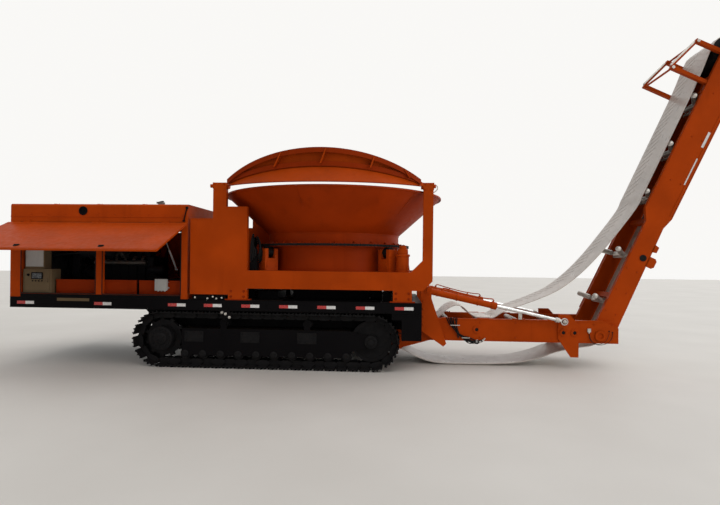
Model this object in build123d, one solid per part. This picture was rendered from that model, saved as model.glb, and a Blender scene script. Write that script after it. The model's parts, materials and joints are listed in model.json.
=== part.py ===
"""Tracked tub grinder, parked with its near engine door raised and its discharge conveyor half unfolded.

Frame: +X towards the discharge conveyor, +Y towards the far side, +Z up, millimetres.
The origin is on the ground, under the axis of the tub.
"""
from build123d import *
import math
import os

# Undercarriage
TRACK_OUTER_Y = 1250.0       # outer face of each track, half the width of the machine
TRACK_WIDTH = 500.0
SPROCKET_X = -2755.0
IDLER_X = 755.0
TRACK_RADIUS = 470.0         # from a wheel's axis to the tip of a grouser
GROUSER_HEIGHT = 25.0
GROUSER_THICKNESS = 18.0
SHOE_COUNT = 50
SHOE_GAP = 14.0
SHOE_THICKNESS = 16.0
CHAIN_DEPTH = 91.0
WHEEL_GAP = 0.3              # rollers and wheels to the inside of the track
ROLLER_RADIUS = 90.0
ROLLER_COUNT = 10
ROLLER_PITCH = 300.0
CARRIER_RADIUS = 70.0
CARRIER_PLACES = (-1700.0, -300.0)
CARRIER_CLEARANCE = 27.7     # under the carrier rollers
CARRIER_BRACKET = 100.0
TRACK_BEAM_WIDTH = 240.0
TRACK_BEAM_BOTTOM = 340.0
CHEEK_THICKNESS = 30.0
CHEEK_BOTTOM = 200.0
SPROCKET_TEETH = 11
SPROCKET_WIDTH = 80.0
TOOTH_DEPTH = 40.0
TOOTH_WIDTH = 60.0
HUB_RADIUS = 200.0
HUB_STAND = 30.0             # how far the final drive stands out of the cheek
IDLER_WIDTH = 100.0
IDLER_WEB = 70.0
IDLER_RIM = 60.0
IDLER_HUB = 110.0
CAR_BODY_BOTTOM = 400.0

# Chassis
DECK_TOP = 1130.0
FASCIA_HEIGHT = 175.0
FASCIA_THICKNESS = 40.0
CHASSIS_LEFT = -5350.0
CHASSIS_RIGHT = 1570.0
RAIL_INNER_Y = 640.0
RAIL_OUTER_Y = 740.0
RAIL_BOTTOM = 640.0
OVERHANG_BOTTOM = 930.0
OVERHANG_END = -3250.0
RAIL_STEP_END = -3000.0
CROSS_BEAM_WIDTH = 260.0
CROSS_BEAM_PLACES = (-2100.0, 0.0)
CHASSIS_CROSS = (-5350.0, -4300.0, -3300.0, -2400.0, -1550.0, 900.0)
CHASSIS_CROSS_WIDTH = 100.0
DECK_SHEET = 12.0
DECK_GAP = (-760.0, 900.0)
REAR_BEAM_BOTTOM = 1030.0
LASH_Y = 690.0
LASH_REACH = 120.0
LASH_THICKNESS = 40.0
LASH_EDGE = 60.0
LASH_BORE = 30.0
LASH_X = CHASSIS_LEFT - LASH_REACH + LASH_EDGE
END_BOX_LEFT = 1090.0
END_BOX_BOTTOM = 520.0
END_BOX_STEP = 105.0         # depth of the shallow part, over the track
END_BOX_WIDTH = 360.0
END_BOX_CLEARANCE = 25.0     # to the tips of the track

# Engine enclosure
ENCLOSURE_RIGHT = -2290.0
POST_WIDTH = 180.0
POST_DEPTH = 90.0
MID_POST_X = -3800.0
SILL_HEIGHT = 60.0
DOOR_RAIL_BOTTOM = 2395.0
ROOF_BOTTOM = 2480.0
ROOF_TOP = 2700.0
ROOF_SHEET = 30.0
ROOF_ROUND = 40.0
WALL_SHEET = 30.0
INNER_POST = 100.0
GRILLE_Y = 850.0
GRILLE_MARGIN = 150.0
GRILLE_FRAME = 40.0
GRILLE_SLATS = 12
GRILLE_SLAT = 24.0
EXHAUST = (-3450.0, 300.0)   # place on the roof, in X and Y
EXHAUST_RADIUS = 90.0
EXHAUST_WALL = 10.0
EXHAUST_HEIGHT = 60.0

# What stands in the engine bay: ranges in X, in Y where they aren't central, and the top
ENGINE_X = (-4650.0, -3300.0)
ENGINE_HALF = 450.0
ENGINE_TOP = 2050.0
RADIATOR_GAP = 60.0
RADIATOR_DEPTH = 300.0
RADIATOR_HALF = 800.0
RADIATOR_TOP = 2300.0
TANK_X = (-2900.0, -2400.0)
TANK_Y = (150.0, 1050.0)
TANK_TOP = 1900.0
CONTROL_LEFT = -5140.0
CONTROL_WIDTHS = (500.0, 340.0)
CONTROL_TOPS = (1600.0, 1960.0)
CONTROL_DEPTHS = (240.0, 180.0)
CONTROL_STAND = (60.0, 20.0)  # how far each box stands out past the posts' inner faces
SILL_PANEL_X = (-4600.0, -3200.0)
SILL_PANEL_TOP = 1430.0
SILL_PANEL_GAP = 5.0
SILL_PANEL_SHEET = 30.0

# Doors
DOOR_THICKNESS = 30.0
DOOR_SEAT_GAP = 10.0
DOOR_LENGTH = 1205.0
DOOR_OPEN_ANGLE = 67.0
DOOR_OVERLAP = 10.0          # past each end of the enclosure
DOOR_TOP_GAP = 4.0
HINGE_RADIUS = 12.0
HINGE_Z = 2380.0
HINGE_KNUCKLE = 120.0
HINGE_LEAF = 10.0
HINGE_FOOT = 60.0
KNUCKLE_GAP = 0.3
HINGE_PLACES = (-5000.0, -3800.0, -2600.0)

# Tub frame
PANEL_LEFT = -2240.0
PANEL_BOTTOM = 1220.0
PANEL_TOP = 2470.0
POST_LEFT_OUTER = -1865.0
POST_LEFT_INNER = -1645.0
PANEL_SHOULDER = 2667.0
PANEL_RIGHT = -1290.0
POST_RIGHT_INNER = 1575.0
POST_RIGHT_OUTER = 1735.0
POST_TOP = 3060.0
BEAM_TOP = 1620.0
BEAM_BOTTOM = 1325.0
INNER_CHAMFER = 190.0
OUTER_CHAMFER = 155.0
LEG_LEFT = (-1598.0, -1285.0)
LEG_RIGHT = (1105.0, 1409.0)
SIDE_PLATE = 100.0
SEAT_GAP = 0.3
FLOOR_PLATE = 20.0
CROSS_MEMBER = 140.0
CROSS_MEMBER_RISE = 30.0     # the cross members' undersides over the beams'
TILT_Y = 1200.0
TILT_Z = 1235.0
TILT_PIN = 35.0
PIN_FIT = 0.1
EAR_GAP = 6.0
EAR_WIDTH = 40.0
FOOT_DROP = 70.0

# Tub
TUB_BASE_RADIUS = 1190.0
CONE_BOTTOM = 2250.0
RIM_RADIUS = 1935.0
RIM_Z = 2920.0
TUB_WALL = 12.0
STAVES = 12                  # curved plates that the tub, its ring and the floor drum are each made of
DRUM_GAP = 48.0              # between the floor drum and the inside of the tub
DRUM_TOP = 2110.0
DRUM_WALL = 12.0
RING_INSET = 40.0
RING_WIDTH = 220.0
RING_BOTTOM = 2030.0
RING_TOP = 2080.0
SUPPORT_INSET = 10.0         # from the ring's edge to the middle of a support
SUPPORT_TURN = 41.4
SUPPORT_ROLLER = 90.0
SUPPORT_WIDTH = 240.0
SUPPORT_CHEEK = 60.0
SUPPORT_HEAD = 50.0          # height of the cheeks over the roller's axis
SUPPORT_PIN = 30.0
ROLLER_PLAY = 3.0

# Mill
ROTOR_Z = 1290.0
ROTOR_RADIUS = 310.0
HAMMER_TIP = 400.0
ROTOR_LENGTH = 1180.0
SHAFT_RADIUS = 60.0
HAMMER_ROWS = 4
HAMMER_PLACES = 8
HAMMER_SIZE = (50.0, 90.0)
HAMMER_LAG = 22.5
HAMMER_ROOT = 80.0           # how deep a hammer is set in the rotor
SHAFT_ENDS = (120.0, 40.0)   # how far the shaft stands out of the housing, left and right
MILL_WALL = 30.0
MILL_HALF_WIDTH = 460.0
MILL_OPENING_X = 640.0
MILL_OPENING_Y = 420.0
MILL_BOTTOM = 760.0
MILL_TOP = 1500.0
MILL_FEET = (900.0, 960.0)
MILL_FOOT_INSET = 40.0
PAN_DROP = 100.0             # how far the pan falls towards the conveyor
PAN_SHEET = 12.0
PAN_CLEARANCE = 20.0

# Hood over the near half of the tub
HOOD_AXIS_Y = -1200.0
HOOD_AXIS_Z = 3010.0
HOOD_PIN = 30.0
HOOD_SHEET = 12.0
HOOD_END_RADIUS = 70.0
HOOD_SIDE_GAP = 8.0
HOOD_EDGE = (-800.0, -35.0)
HOOD_FOLD = (-540.0, 250.0)
HOOD_CREST = (-540.0, 490.0)
HOOD_LUG = (30.0, 50.0)      # length and radius of each end lug
HOOD_PIN_ENDS = (60.0, 40.0)  # the left pin stops short of the post's face, and the right one stands out of it

# Conveyor, lower section
LIFT_X = 1150.0
LIFT_Z = 420.0
LIFT_SHAFT = 40.0
TAIL_RADIUS = 130.0
BELT_WIDTH = 850.0
BELT_THICKNESS = 12.0
LOWER_INNER_Y = 520.0
LOWER_OUTER_Y = 600.0
LOWER_BOTTOM = 450.0
LOWER_TOP = 830.0
LOWER_RIGHT = 4900.0
FOLD_X = 4593.0
FOLD_Z = 579.0
FOLD_PIN = 50.0
FOLD_PIN_HEAD = 20.0
IDLER_RADIUS = 45.0
LIFT_EYE = 110.0             # half the width of the beams' and brackets' ends round the tail shaft
LIFT_BRACKET = 40.0
TAIL_SIDE = 20.0             # how far the tail pulley is wider than the belt, each side
BEAM_SHOULDER = (1650.0, 1750.0)
BEAM_NOSE = (250.0, 120.0)
LOWER_IDLERS = (2050.0, 2650.0, 3250.0, 3850.0)
LOWER_CROSS = (1800.0, 2900.0, 4050.0)
LOWER_CROSS_SIZE = (100.0, 100.0)
LOWER_CROSS_RISE = 40.0
EYE_PLATE = 25.0
EYE_PLATE_OUTLINE = ((3900.0, 930.0), (4090.0, 930.0), (4240.0, 760.0), (4240.0, 210.0), (4110.0, 210.0),
                     (3900.0, 520.0))

# Conveyor, upper section: s runs along it from the fold pin, h away from the carrying side's back
UPPER_ANGLE = 65.0
UPPER_INNER_Y = 440.0
UPPER_OUTER_Y = 515.0
UPPER_LOW = -250.0
UPPER_NARROW_TOP = 120.0
UPPER_WIDE_TOP = 230.0
UPPER_STEP = (2100.0, 2300.0)
UPPER_WAIST = 60.0
UPPER_FOOT = (-90.0, 90.0, 120.0)
UPPER_NOSE = 120.0
UPPER_LENGTH = 5300.0
UPPER_CROSS = (700.0, 2150.0)      # cross members, up from the fold pin
UPPER_CROSS_BACK = (1700.0, 600.0)  # and back from the head pulley's axis
UPPER_CROSS_SIZE = (90.0, 80.0)
UPPER_IDLERS = (600.0, 1500.0, 2600.0)
UPPER_IDLERS_BACK = (1800.0, 900.0)
WING_LENGTH = 250.0
WING_TILT = 33.0
WING_CENTRE = (290.0, 219.0)
CENTRE_ROLLER = 160.0
CENTRE_H = 95.0
IDLER_BAR = 25.0
IDLER_BAR_DEPTH = 30.0
IDLER_DROP = 90.0            # the bar's top under the level roller's axis
IDLER_POST = 12.0
HEAD_RADIUS = 230.0
HEAD_H = 150.0
HEAD_SHAFT = 40.0
HEAD_MOTOR = (230.0, 110.0)  # length and radius
GUARD_PLACES = (100.0, 670.0)  # back from the head pulley's axis
GUARD_TOPS = (700.0, 880.0)
GUARD_ARM = 60.0
GUARD_BAR = 36.0
RETURN_H = -150.0
CARRY_H = 331.0
WRAP_GAP = 0.3
PULLEY_CORNER = 0.5
SLACK_GAP = 1.0
LOWER_SLACK_X = 2760.0       # where the slack leaves the lower section, over it and under it
RETURN_SLACK_X = 2150.0
UPPER_SLACK = 2500.0         # where it joins the upper section, over it and under it
UPPER_RETURN = 500.0

# Lift cylinders
CYLINDER_Y = 702.0
ANCHOR_X = 1690.0
ANCHOR_Z = 1306.0
ROD_EYE_X = 3965.0
ROD_EYE_Z = 822.0
BARREL_RADIUS = 55.0
BARREL_LENGTH = 1180.0
ROD_RADIUS = 28.0
CYLINDER_PIN = 30.0
EYE_RADIUS = 60.0
EYE_WIDTH = 90.0
EYE_PLAY = 12.0
BRACKET_GAP = 5.0
BRACKET_PLATE = 25.0
BRACKET_EDGE = 65.0          # round the anchor pin
BRACKET_FOOT = ((1960.0, 370.0), (2010.0, 420.0))
BRACKET_BACK = 20.0
BRACKET_BACK_TOP = 1100.0
ANCHOR_HEAD = 15.0
ROD_ROOT = 500.0             # how much of the rod is inside its barrel at rest
BARREL_FLOOR = 150.0


def block(x0, x1, y0, y1, z0, z1):
    return Pos((x0 + x1) / 2, (y0 + y1) / 2, (z0 + z1) / 2) * Box(x1 - x0, y1 - y0, z1 - z0)


def rod_x(x0, x1, y, z, radius):
    return Pos((x0 + x1) / 2, y, z) * Rot(0, 90, 0) * Cylinder(radius, x1 - x0)


def rod_y(y0, y1, x, z, radius):
    return Pos(x, (y0 + y1) / 2, z) * Rot(90, 0, 0) * Cylinder(radius, y1 - y0)


def rod_z(z0, z1, x, y, radius):
    return Pos(x, y, (z0 + z1) / 2) * Cylinder(radius, z1 - z0)


def side_cut(outline, y0, y1):
    """A plate with an outline in X and Z, from y0 to y1."""
    face = make_face(Polyline(*[(x, y0, z) for x, z in outline], close=True).edges())
    return extrude(face, amount=y1 - y0, dir=(0, 1, 0))


def mirrored(shape):
    return mirror(shape, about=Plane.XZ)


def pair(shape):
    """The near piece and its mirror image on the far side."""
    return [shape, mirrored(shape)]


def save(name, *shapes):
    solids = []
    for shape in shapes:
        solids += shape if isinstance(shape, list) else [shape]
    body = solids[0] if len(solids) == 1 else Compound(children=[Compound(s.solids()) for s in solids])
    export_step(body, f"parts/{name}.step")
    print(name, len(body.solids()), "solids")


# Undercarriage

TRACK_CENTRE_Y = TRACK_OUTER_Y - TRACK_WIDTH / 2
TRACK_Z = TRACK_RADIUS
PLATE_RADIUS = TRACK_RADIUS - GROUSER_HEIGHT
CHAIN_RADIUS = PLATE_RADIUS - SHOE_THICKNESS - CHAIN_DEPTH
WHEEL_RADIUS = CHAIN_RADIUS - WHEEL_GAP


def track_slab(radius, y0, y1):
    """A flat-sided oval round both wheels."""
    slab = block(SPROCKET_X, IDLER_X, y0, y1, TRACK_Z - radius, TRACK_Z + radius)
    for x in (SPROCKET_X, IDLER_X):
        slab += rod_y(y0, y1, x, TRACK_Z, radius)
    return slab


def on_track(distance, radius):
    """Place and outward angle of a point that far round the oval, from the sprocket's foot."""
    run = IDLER_X - SPROCKET_X
    half_turn = math.pi * radius
    distance %= 2 * (run + half_turn)
    if distance < run:
        return SPROCKET_X + distance, TRACK_Z - radius, -90.0
    distance -= run
    if distance < half_turn:
        turn = -90.0 + math.degrees(distance / radius)
        return (IDLER_X + radius * math.cos(math.radians(turn)),
                TRACK_Z + radius * math.sin(math.radians(turn)), turn)
    distance -= half_turn
    if distance < run:
        return IDLER_X - distance, TRACK_Z + radius, 90.0
    distance -= run
    turn = 90.0 + math.degrees(distance / radius)
    return (SPROCKET_X + radius * math.cos(math.radians(turn)),
            TRACK_Z + radius * math.sin(math.radians(turn)), turn)


def track_near():
    y0, y1 = -TRACK_OUTER_Y, -TRACK_OUTER_Y + TRACK_WIDTH
    loop = track_slab(PLATE_RADIUS, y0, y1) - track_slab(CHAIN_RADIUS, y0 - 1, y1 + 1)
    length = 2 * (IDLER_X - SPROCKET_X + math.pi * PLATE_RADIUS)
    grousers = []
    for i in range(SHOE_COUNT):
        x, z, turn = on_track((i + 0.5) * length / SHOE_COUNT, PLATE_RADIUS)
        height = 2 * GROUSER_HEIGHT
        bar = Box(height, TRACK_WIDTH, GROUSER_THICKNESS)
        grousers.append(Pos(x, -TRACK_CENTRE_Y, z) * Rot(0, -turn, 0) * bar)
    return loop + grousers


def roller_places():
    middle = (SPROCKET_X + IDLER_X) / 2
    first = middle - ROLLER_PITCH * (ROLLER_COUNT - 1) / 2
    return [first + ROLLER_PITCH * i for i in range(ROLLER_COUNT)]


CHEEK_INNER = TRACK_BEAM_WIDTH / 2
CHEEK_OUTER = CHEEK_INNER + CHEEK_THICKNESS
ROLLER_Z = TRACK_Z - WHEEL_RADIUS + ROLLER_RADIUS
CARRIER_Z = TRACK_Z + WHEEL_RADIUS - CARRIER_RADIUS
TRACK_BEAM_TOP = CARRIER_Z - CARRIER_RADIUS - CARRIER_CLEARANCE
ROLLER_SIDE_GAP = 4.0
AXLE_RADIUS = 45.0
IDLER_YOKE = 110.0
CHEEK_RISE = (100.0, 60.0)   # from the cheek's foot to its two end plates, front and back


def track_frame_near():
    y = -TRACK_CENTRE_Y
    x0, x1 = roller_places()[0] - 2 * ROLLER_RADIUS / 3, roller_places()[-1] + 2 * ROLLER_RADIUS / 3
    frame = block(x0, x1, y - CHEEK_INNER, y + CHEEK_INNER, TRACK_BEAM_BOTTOM, TRACK_BEAM_TOP)
    for side in (-1, 1):
        a, b = sorted((y + side * CHEEK_INNER, y + side * CHEEK_OUTER))
        frame += block(x0, x1, a, b, CHEEK_BOTTOM, TRACK_BEAM_TOP)
        frame += side_cut([(x1, CHEEK_BOTTOM + CHEEK_RISE[0]), (IDLER_X + IDLER_YOKE, TRACK_Z - IDLER_YOKE / 2),
                           (IDLER_X + IDLER_YOKE, TRACK_Z + IDLER_YOKE / 2), (x1, TRACK_BEAM_TOP)], a, b)
    a, b = y + CHEEK_INNER, y + CHEEK_OUTER
    frame += side_cut([(x0, CHEEK_BOTTOM + CHEEK_RISE[1]), (SPROCKET_X - HUB_RADIUS, TRACK_Z - HUB_RADIUS / 2),
                       (SPROCKET_X - HUB_RADIUS, TRACK_Z + HUB_RADIUS / 2), (x0, TRACK_BEAM_TOP)], a, b)
    half = CARRIER_BRACKET / 2
    for x in CARRIER_PLACES:
        frame += block(x - half, x + half, y - CHEEK_OUTER, y - CHEEK_INNER, TRACK_BEAM_TOP, CARRIER_Z + half)
    return frame


def track_rollers_near():
    y = -TRACK_CENTRE_Y
    rollers = []
    for x in roller_places():
        tread = CHEEK_INNER - ROLLER_SIDE_GAP
        rollers.append(rod_y(y - tread, y + tread, x, ROLLER_Z, ROLLER_RADIUS)
                       + rod_y(y - CHEEK_INNER, y + CHEEK_INNER, x, ROLLER_Z, AXLE_RADIUS))
    for x in CARRIER_PLACES:
        rollers.append(rod_y(y - CHEEK_INNER + ROLLER_SIDE_GAP, y + CARRIER_RADIUS, x, CARRIER_Z, CARRIER_RADIUS)
                       + rod_y(y - CHEEK_INNER, y, x, CARRIER_Z, AXLE_RADIUS / 2))
    return rollers


def sprocket_near():
    y, half = -TRACK_CENTRE_Y, SPROCKET_WIDTH / 2
    wheel = rod_y(y - half, y + half, SPROCKET_X, TRACK_Z, WHEEL_RADIUS - TOOTH_DEPTH)
    teeth = []
    for i in range(SPROCKET_TEETH):
        turn = 360.0 * i / SPROCKET_TEETH
        tooth = Pos(WHEEL_RADIUS - TOOTH_DEPTH, 0, 0) * Box(2 * TOOTH_DEPTH, 2 * half, TOOTH_WIDTH)
        teeth.append(Pos(SPROCKET_X, y, TRACK_Z) * Rot(0, -turn, 0) * tooth)
    rim = rod_y(y - half, y + half, SPROCKET_X, TRACK_Z, WHEEL_RADIUS)
    wheel = (wheel + teeth) & rim
    hub = rod_y(y - CHEEK_OUTER - HUB_STAND, y + CHEEK_INNER, SPROCKET_X, TRACK_Z, HUB_RADIUS)
    return wheel + hub


def idler_near():
    y, half = -TRACK_CENTRE_Y, IDLER_WIDTH / 2
    wheel = rod_y(y - half, y + half, IDLER_X, TRACK_Z, WHEEL_RADIUS)
    for a, b in ((y - half, y - IDLER_WEB / 2), (y + IDLER_WEB / 2, y + half)):
        wheel -= (rod_y(a, b, IDLER_X, TRACK_Z, WHEEL_RADIUS - IDLER_RIM)
                  - rod_y(a, b, IDLER_X, TRACK_Z, IDLER_HUB))
    hub = CHEEK_INNER - ROLLER_SIDE_GAP
    wheel += rod_y(y - hub, y + hub, IDLER_X, TRACK_Z, IDLER_HUB)
    wheel += rod_y(y - CHEEK_INNER, y + CHEEK_INNER, IDLER_X, TRACK_Z, AXLE_RADIUS)
    return wheel


# Chassis

FASCIA_BOTTOM = DECK_TOP - FASCIA_HEIGHT
FASCIA_INNER_Y = TRACK_OUTER_Y - FASCIA_THICKNESS
DECK_UNDER = DECK_TOP - DECK_SHEET
POST_INNER_Y = TRACK_OUTER_Y - POST_DEPTH


def rail_near():
    """The rail's shallow overhang under the engine and its deep run over the tracks, welded end to end."""
    overhang = block(CHASSIS_LEFT, OVERHANG_END, -RAIL_OUTER_Y, -RAIL_INNER_Y, OVERHANG_BOTTOM, DECK_UNDER)
    deep = side_cut([(OVERHANG_END, OVERHANG_BOTTOM), (RAIL_STEP_END, RAIL_BOTTOM), (CHASSIS_RIGHT, RAIL_BOTTOM),
                     (CHASSIS_RIGHT, DECK_UNDER), (OVERHANG_END, DECK_UNDER)], -RAIL_OUTER_Y, -RAIL_INNER_Y)
    return [overhang, deep]


def lash_eye_near():
    y = -LASH_Y
    eye = block(CHASSIS_LEFT - LASH_REACH, CHASSIS_LEFT, y - LASH_THICKNESS / 2, y + LASH_THICKNESS / 2,
                OVERHANG_BOTTOM, OVERHANG_BOTTOM + 2 * LASH_EDGE)
    return eye - rod_y(y - LASH_THICKNESS, y + LASH_THICKNESS, LASH_X, OVERHANG_BOTTOM + LASH_EDGE, LASH_BORE)


def chassis_frame():
    """Rails, fascias, cross members and deck sheets, each its own piece, welded face to face."""
    fascia = block(CHASSIS_LEFT, CHASSIS_RIGHT, -TRACK_OUTER_Y, -FASCIA_INNER_Y, FASCIA_BOTTOM, DECK_TOP)
    members = pair(fascia) + pair(lash_eye_near())
    for rail in rail_near():
        members += pair(rail)
    places = [(x, x + CHASSIS_CROSS_WIDTH, FASCIA_BOTTOM) for x in CHASSIS_CROSS]
    places.append((CHASSIS_RIGHT - CHASSIS_CROSS_WIDTH, CHASSIS_RIGHT, REAR_BEAM_BOTTOM))
    for x0, x1, z in places:
        members.append(block(x0, x1, -RAIL_INNER_Y, RAIL_INNER_Y, z, DECK_UNDER))
        members += pair(block(x0, x1, -FASCIA_INNER_Y, -RAIL_OUTER_Y, z, DECK_UNDER))
    for x0, x1 in ((CHASSIS_LEFT, DECK_GAP[0]), (DECK_GAP[1], CHASSIS_RIGHT)):
        members.append(block(x0, x1, -FASCIA_INNER_Y, FASCIA_INNER_Y, DECK_UNDER, DECK_TOP))
    return members


def end_boxes():
    step = IDLER_X + TRACK_RADIUS + END_BOX_CLEARANCE
    outline = [(END_BOX_LEFT, FASCIA_BOTTOM), (END_BOX_LEFT, FASCIA_BOTTOM - END_BOX_STEP),
               (step, FASCIA_BOTTOM - END_BOX_STEP), (step, END_BOX_BOTTOM), (CHASSIS_RIGHT, END_BOX_BOTTOM),
               (CHASSIS_RIGHT, FASCIA_BOTTOM)]
    return side_cut(outline, -TRACK_OUTER_Y, -TRACK_OUTER_Y + END_BOX_WIDTH)


def car_body():
    y = TRACK_CENTRE_Y - CHEEK_OUTER
    return [block(x, x + CROSS_BEAM_WIDTH, -y, y, CAR_BODY_BOTTOM, RAIL_BOTTOM) for x in CROSS_BEAM_PLACES]


# Engine enclosure

def enclosure_frame():
    side = block(CHASSIS_LEFT, ENCLOSURE_RIGHT, -TRACK_OUTER_Y, -POST_INNER_Y, DECK_TOP, DECK_TOP + SILL_HEIGHT)
    side += block(CHASSIS_LEFT, ENCLOSURE_RIGHT, -TRACK_OUTER_Y, -POST_INNER_Y, DOOR_RAIL_BOTTOM, ROOF_BOTTOM)
    for x0, x1 in ((CHASSIS_LEFT, CHASSIS_LEFT + POST_WIDTH),
                   (MID_POST_X - INNER_POST / 2, MID_POST_X + INNER_POST / 2),
                   (ENCLOSURE_RIGHT - INNER_POST, ENCLOSURE_RIGHT)):
        side += block(x0, x1, -TRACK_OUTER_Y, -POST_INNER_Y, DECK_TOP, ROOF_BOTTOM)
    frame = side + mirrored(side)
    for x0 in (CHASSIS_LEFT, ENCLOSURE_RIGHT - INNER_POST):
        frame += block(x0, x0 + INNER_POST, -TRACK_OUTER_Y, TRACK_OUTER_Y, DOOR_RAIL_BOTTOM, ROOF_BOTTOM)
    frame += mount_knuckles() + mirrored(mount_knuckles())
    return frame


def enclosure_roof():
    outer = block(CHASSIS_LEFT, ENCLOSURE_RIGHT, -TRACK_OUTER_Y, TRACK_OUTER_Y, ROOF_BOTTOM, ROOF_TOP)
    top = [e for e in outer.edges().filter_by(Axis.X) if e.center().Z > ROOF_TOP - 1]
    outer = fillet(top, ROOF_ROUND)
    inner = block(CHASSIS_LEFT + ROOF_SHEET, ENCLOSURE_RIGHT - ROOF_SHEET, -TRACK_OUTER_Y + ROOF_SHEET,
                  TRACK_OUTER_Y - ROOF_SHEET, ROOF_BOTTOM - 1, ROOF_TOP - ROOF_SHEET)
    return outer - inner


def end_wall():
    """Left end wall with the opening in front of the radiator."""
    x0, x1 = CHASSIS_LEFT, CHASSIS_LEFT + WALL_SHEET
    wall = block(x0, x1, -POST_INNER_Y, POST_INNER_Y, DECK_TOP, DOOR_RAIL_BOTTOM)
    return wall - block(x0 - 1, x1 + 1, -GRILLE_Y, GRILLE_Y, DECK_TOP + GRILLE_MARGIN,
                        DOOR_RAIL_BOTTOM - GRILLE_MARGIN)


def end_grille():
    z0, z1 = DECK_TOP + GRILLE_MARGIN, DOOR_RAIL_BOTTOM - GRILLE_MARGIN
    x0, x1 = CHASSIS_LEFT, CHASSIS_LEFT + WALL_SHEET
    grille = block(x0, x1, -GRILLE_Y, GRILLE_Y, z0, z0 + GRILLE_FRAME)
    grille += block(x0, x1, -GRILLE_Y, GRILLE_Y, z1 - GRILLE_FRAME, z1)
    for part in range(4):
        y = -GRILLE_Y + (2 * GRILLE_Y - GRILLE_FRAME) * part / 3
        grille += block(x0, x1, y, y + GRILLE_FRAME, z0, z1)
    pitch = (z1 - z0 - 2 * GRILLE_FRAME) / GRILLE_SLATS
    for i in range(GRILLE_SLATS):
        z = z0 + GRILLE_FRAME + pitch * (i + 0.5)
        grille += block(x0 + WALL_SHEET / 4, x1 - WALL_SHEET / 4, -GRILLE_Y, GRILLE_Y, z - GRILLE_SLAT / 2,
                        z + GRILLE_SLAT / 2)
    return grille


def bulkhead():
    return block(ENCLOSURE_RIGHT - WALL_SHEET, ENCLOSURE_RIGHT, -POST_INNER_Y, POST_INNER_Y, DECK_TOP,
                 DOOR_RAIL_BOTTOM)


def engine_block():
    return block(ENGINE_X[0], ENGINE_X[1], -ENGINE_HALF, ENGINE_HALF, DECK_TOP, ENGINE_TOP)


def radiator_pack():
    x = CHASSIS_LEFT + WALL_SHEET + RADIATOR_GAP
    return block(x, x + RADIATOR_DEPTH, -RADIATOR_HALF, RADIATOR_HALF, DECK_TOP, RADIATOR_TOP)


def hydraulic_tank():
    return block(TANK_X[0], TANK_X[1], TANK_Y[0], TANK_Y[1], DECK_TOP, TANK_TOP)


def control_box():
    """A wide box on the sill with a narrower one on top."""
    boxes = []
    bottom = DECK_TOP + SILL_HEIGHT
    for width, top, depth, stand in zip(CONTROL_WIDTHS, CONTROL_TOPS, CONTROL_DEPTHS, CONTROL_STAND):
        y = -POST_INNER_Y - stand
        boxes.append(block(CONTROL_LEFT, CONTROL_LEFT + width, y, y + depth, bottom, top))
        bottom = top
    return boxes


def sill_panel():
    y = -POST_INNER_Y + SILL_PANEL_GAP
    return block(SILL_PANEL_X[0], SILL_PANEL_X[1], y, y + SILL_PANEL_SHEET, DECK_TOP, SILL_PANEL_TOP)


def exhaust_cap():
    x, y = EXHAUST
    return (rod_z(ROOF_TOP, ROOF_TOP + EXHAUST_HEIGHT, x, y, EXHAUST_RADIUS)
            - rod_z(ROOF_TOP + EXHAUST_WALL, ROOF_TOP + EXHAUST_HEIGHT + 1, x, y, EXHAUST_RADIUS - EXHAUST_WALL))


# Doors, drawn shut and then swung open on the hinge

DOOR_OUTER_Y = TRACK_OUTER_Y + DOOR_SEAT_GAP + DOOR_THICKNESS
HINGE_Y = TRACK_OUTER_Y + DOOR_SEAT_GAP + DOOR_THICKNESS / 2
DOOR_ENDS = (CHASSIS_LEFT - DOOR_OVERLAP, ENCLOSURE_RIGHT + DOOR_OVERLAP)


def mount_knuckles():
    """Hinge leaves on the near door rail, each with one round knuckle."""
    leaves = None
    for x in HINGE_PLACES:
        knuckle = rod_x(x - HINGE_KNUCKLE, x, -HINGE_Y, HINGE_Z, HINGE_RADIUS)
        leaf = block(x - HINGE_KNUCKLE, x, -HINGE_Y, -TRACK_OUTER_Y, HINGE_Z, HINGE_Z + HINGE_RADIUS)
        foot = block(x - HINGE_KNUCKLE, x, -TRACK_OUTER_Y - HINGE_LEAF, -TRACK_OUTER_Y, HINGE_Z, HINGE_Z + HINGE_FOOT)
        leaf_set = knuckle + leaf + foot
        leaves = leaf_set if leaves is None else leaves + leaf_set
    return leaves


def door_shut():
    inner, outer = -TRACK_OUTER_Y - DOOR_SEAT_GAP, -DOOR_OUTER_Y
    top = HINGE_Z - HINGE_RADIUS - DOOR_TOP_GAP
    door = block(DOOR_ENDS[0], DOOR_ENDS[1], outer, inner, HINGE_Z - DOOR_LENGTH, top)
    for x in HINGE_PLACES:
        door += rod_x(x + KNUCKLE_GAP, x + KNUCKLE_GAP + HINGE_KNUCKLE, -HINGE_Y, HINGE_Z, HINGE_RADIUS)
        door += block(x + KNUCKLE_GAP, x + KNUCKLE_GAP + HINGE_KNUCKLE, -HINGE_Y - HINGE_LEAF / 2,
                      -HINGE_Y + HINGE_LEAF / 2, top, HINGE_Z)
    return door


def swung(shape, y, z, angle):
    """Turned about a line along X through y and z."""
    return Pos(0, y, z) * Rot(angle, 0, 0) * Pos(0, -y, -z) * shape


def door_near():
    return swung(door_shut(), -HINGE_Y, HINGE_Z, -DOOR_OPEN_ANGLE)


def door_far():
    return mirrored(door_shut())


# Tub frame

PLATE_INNER_Y = TRACK_OUTER_Y - SIDE_PLATE


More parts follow.
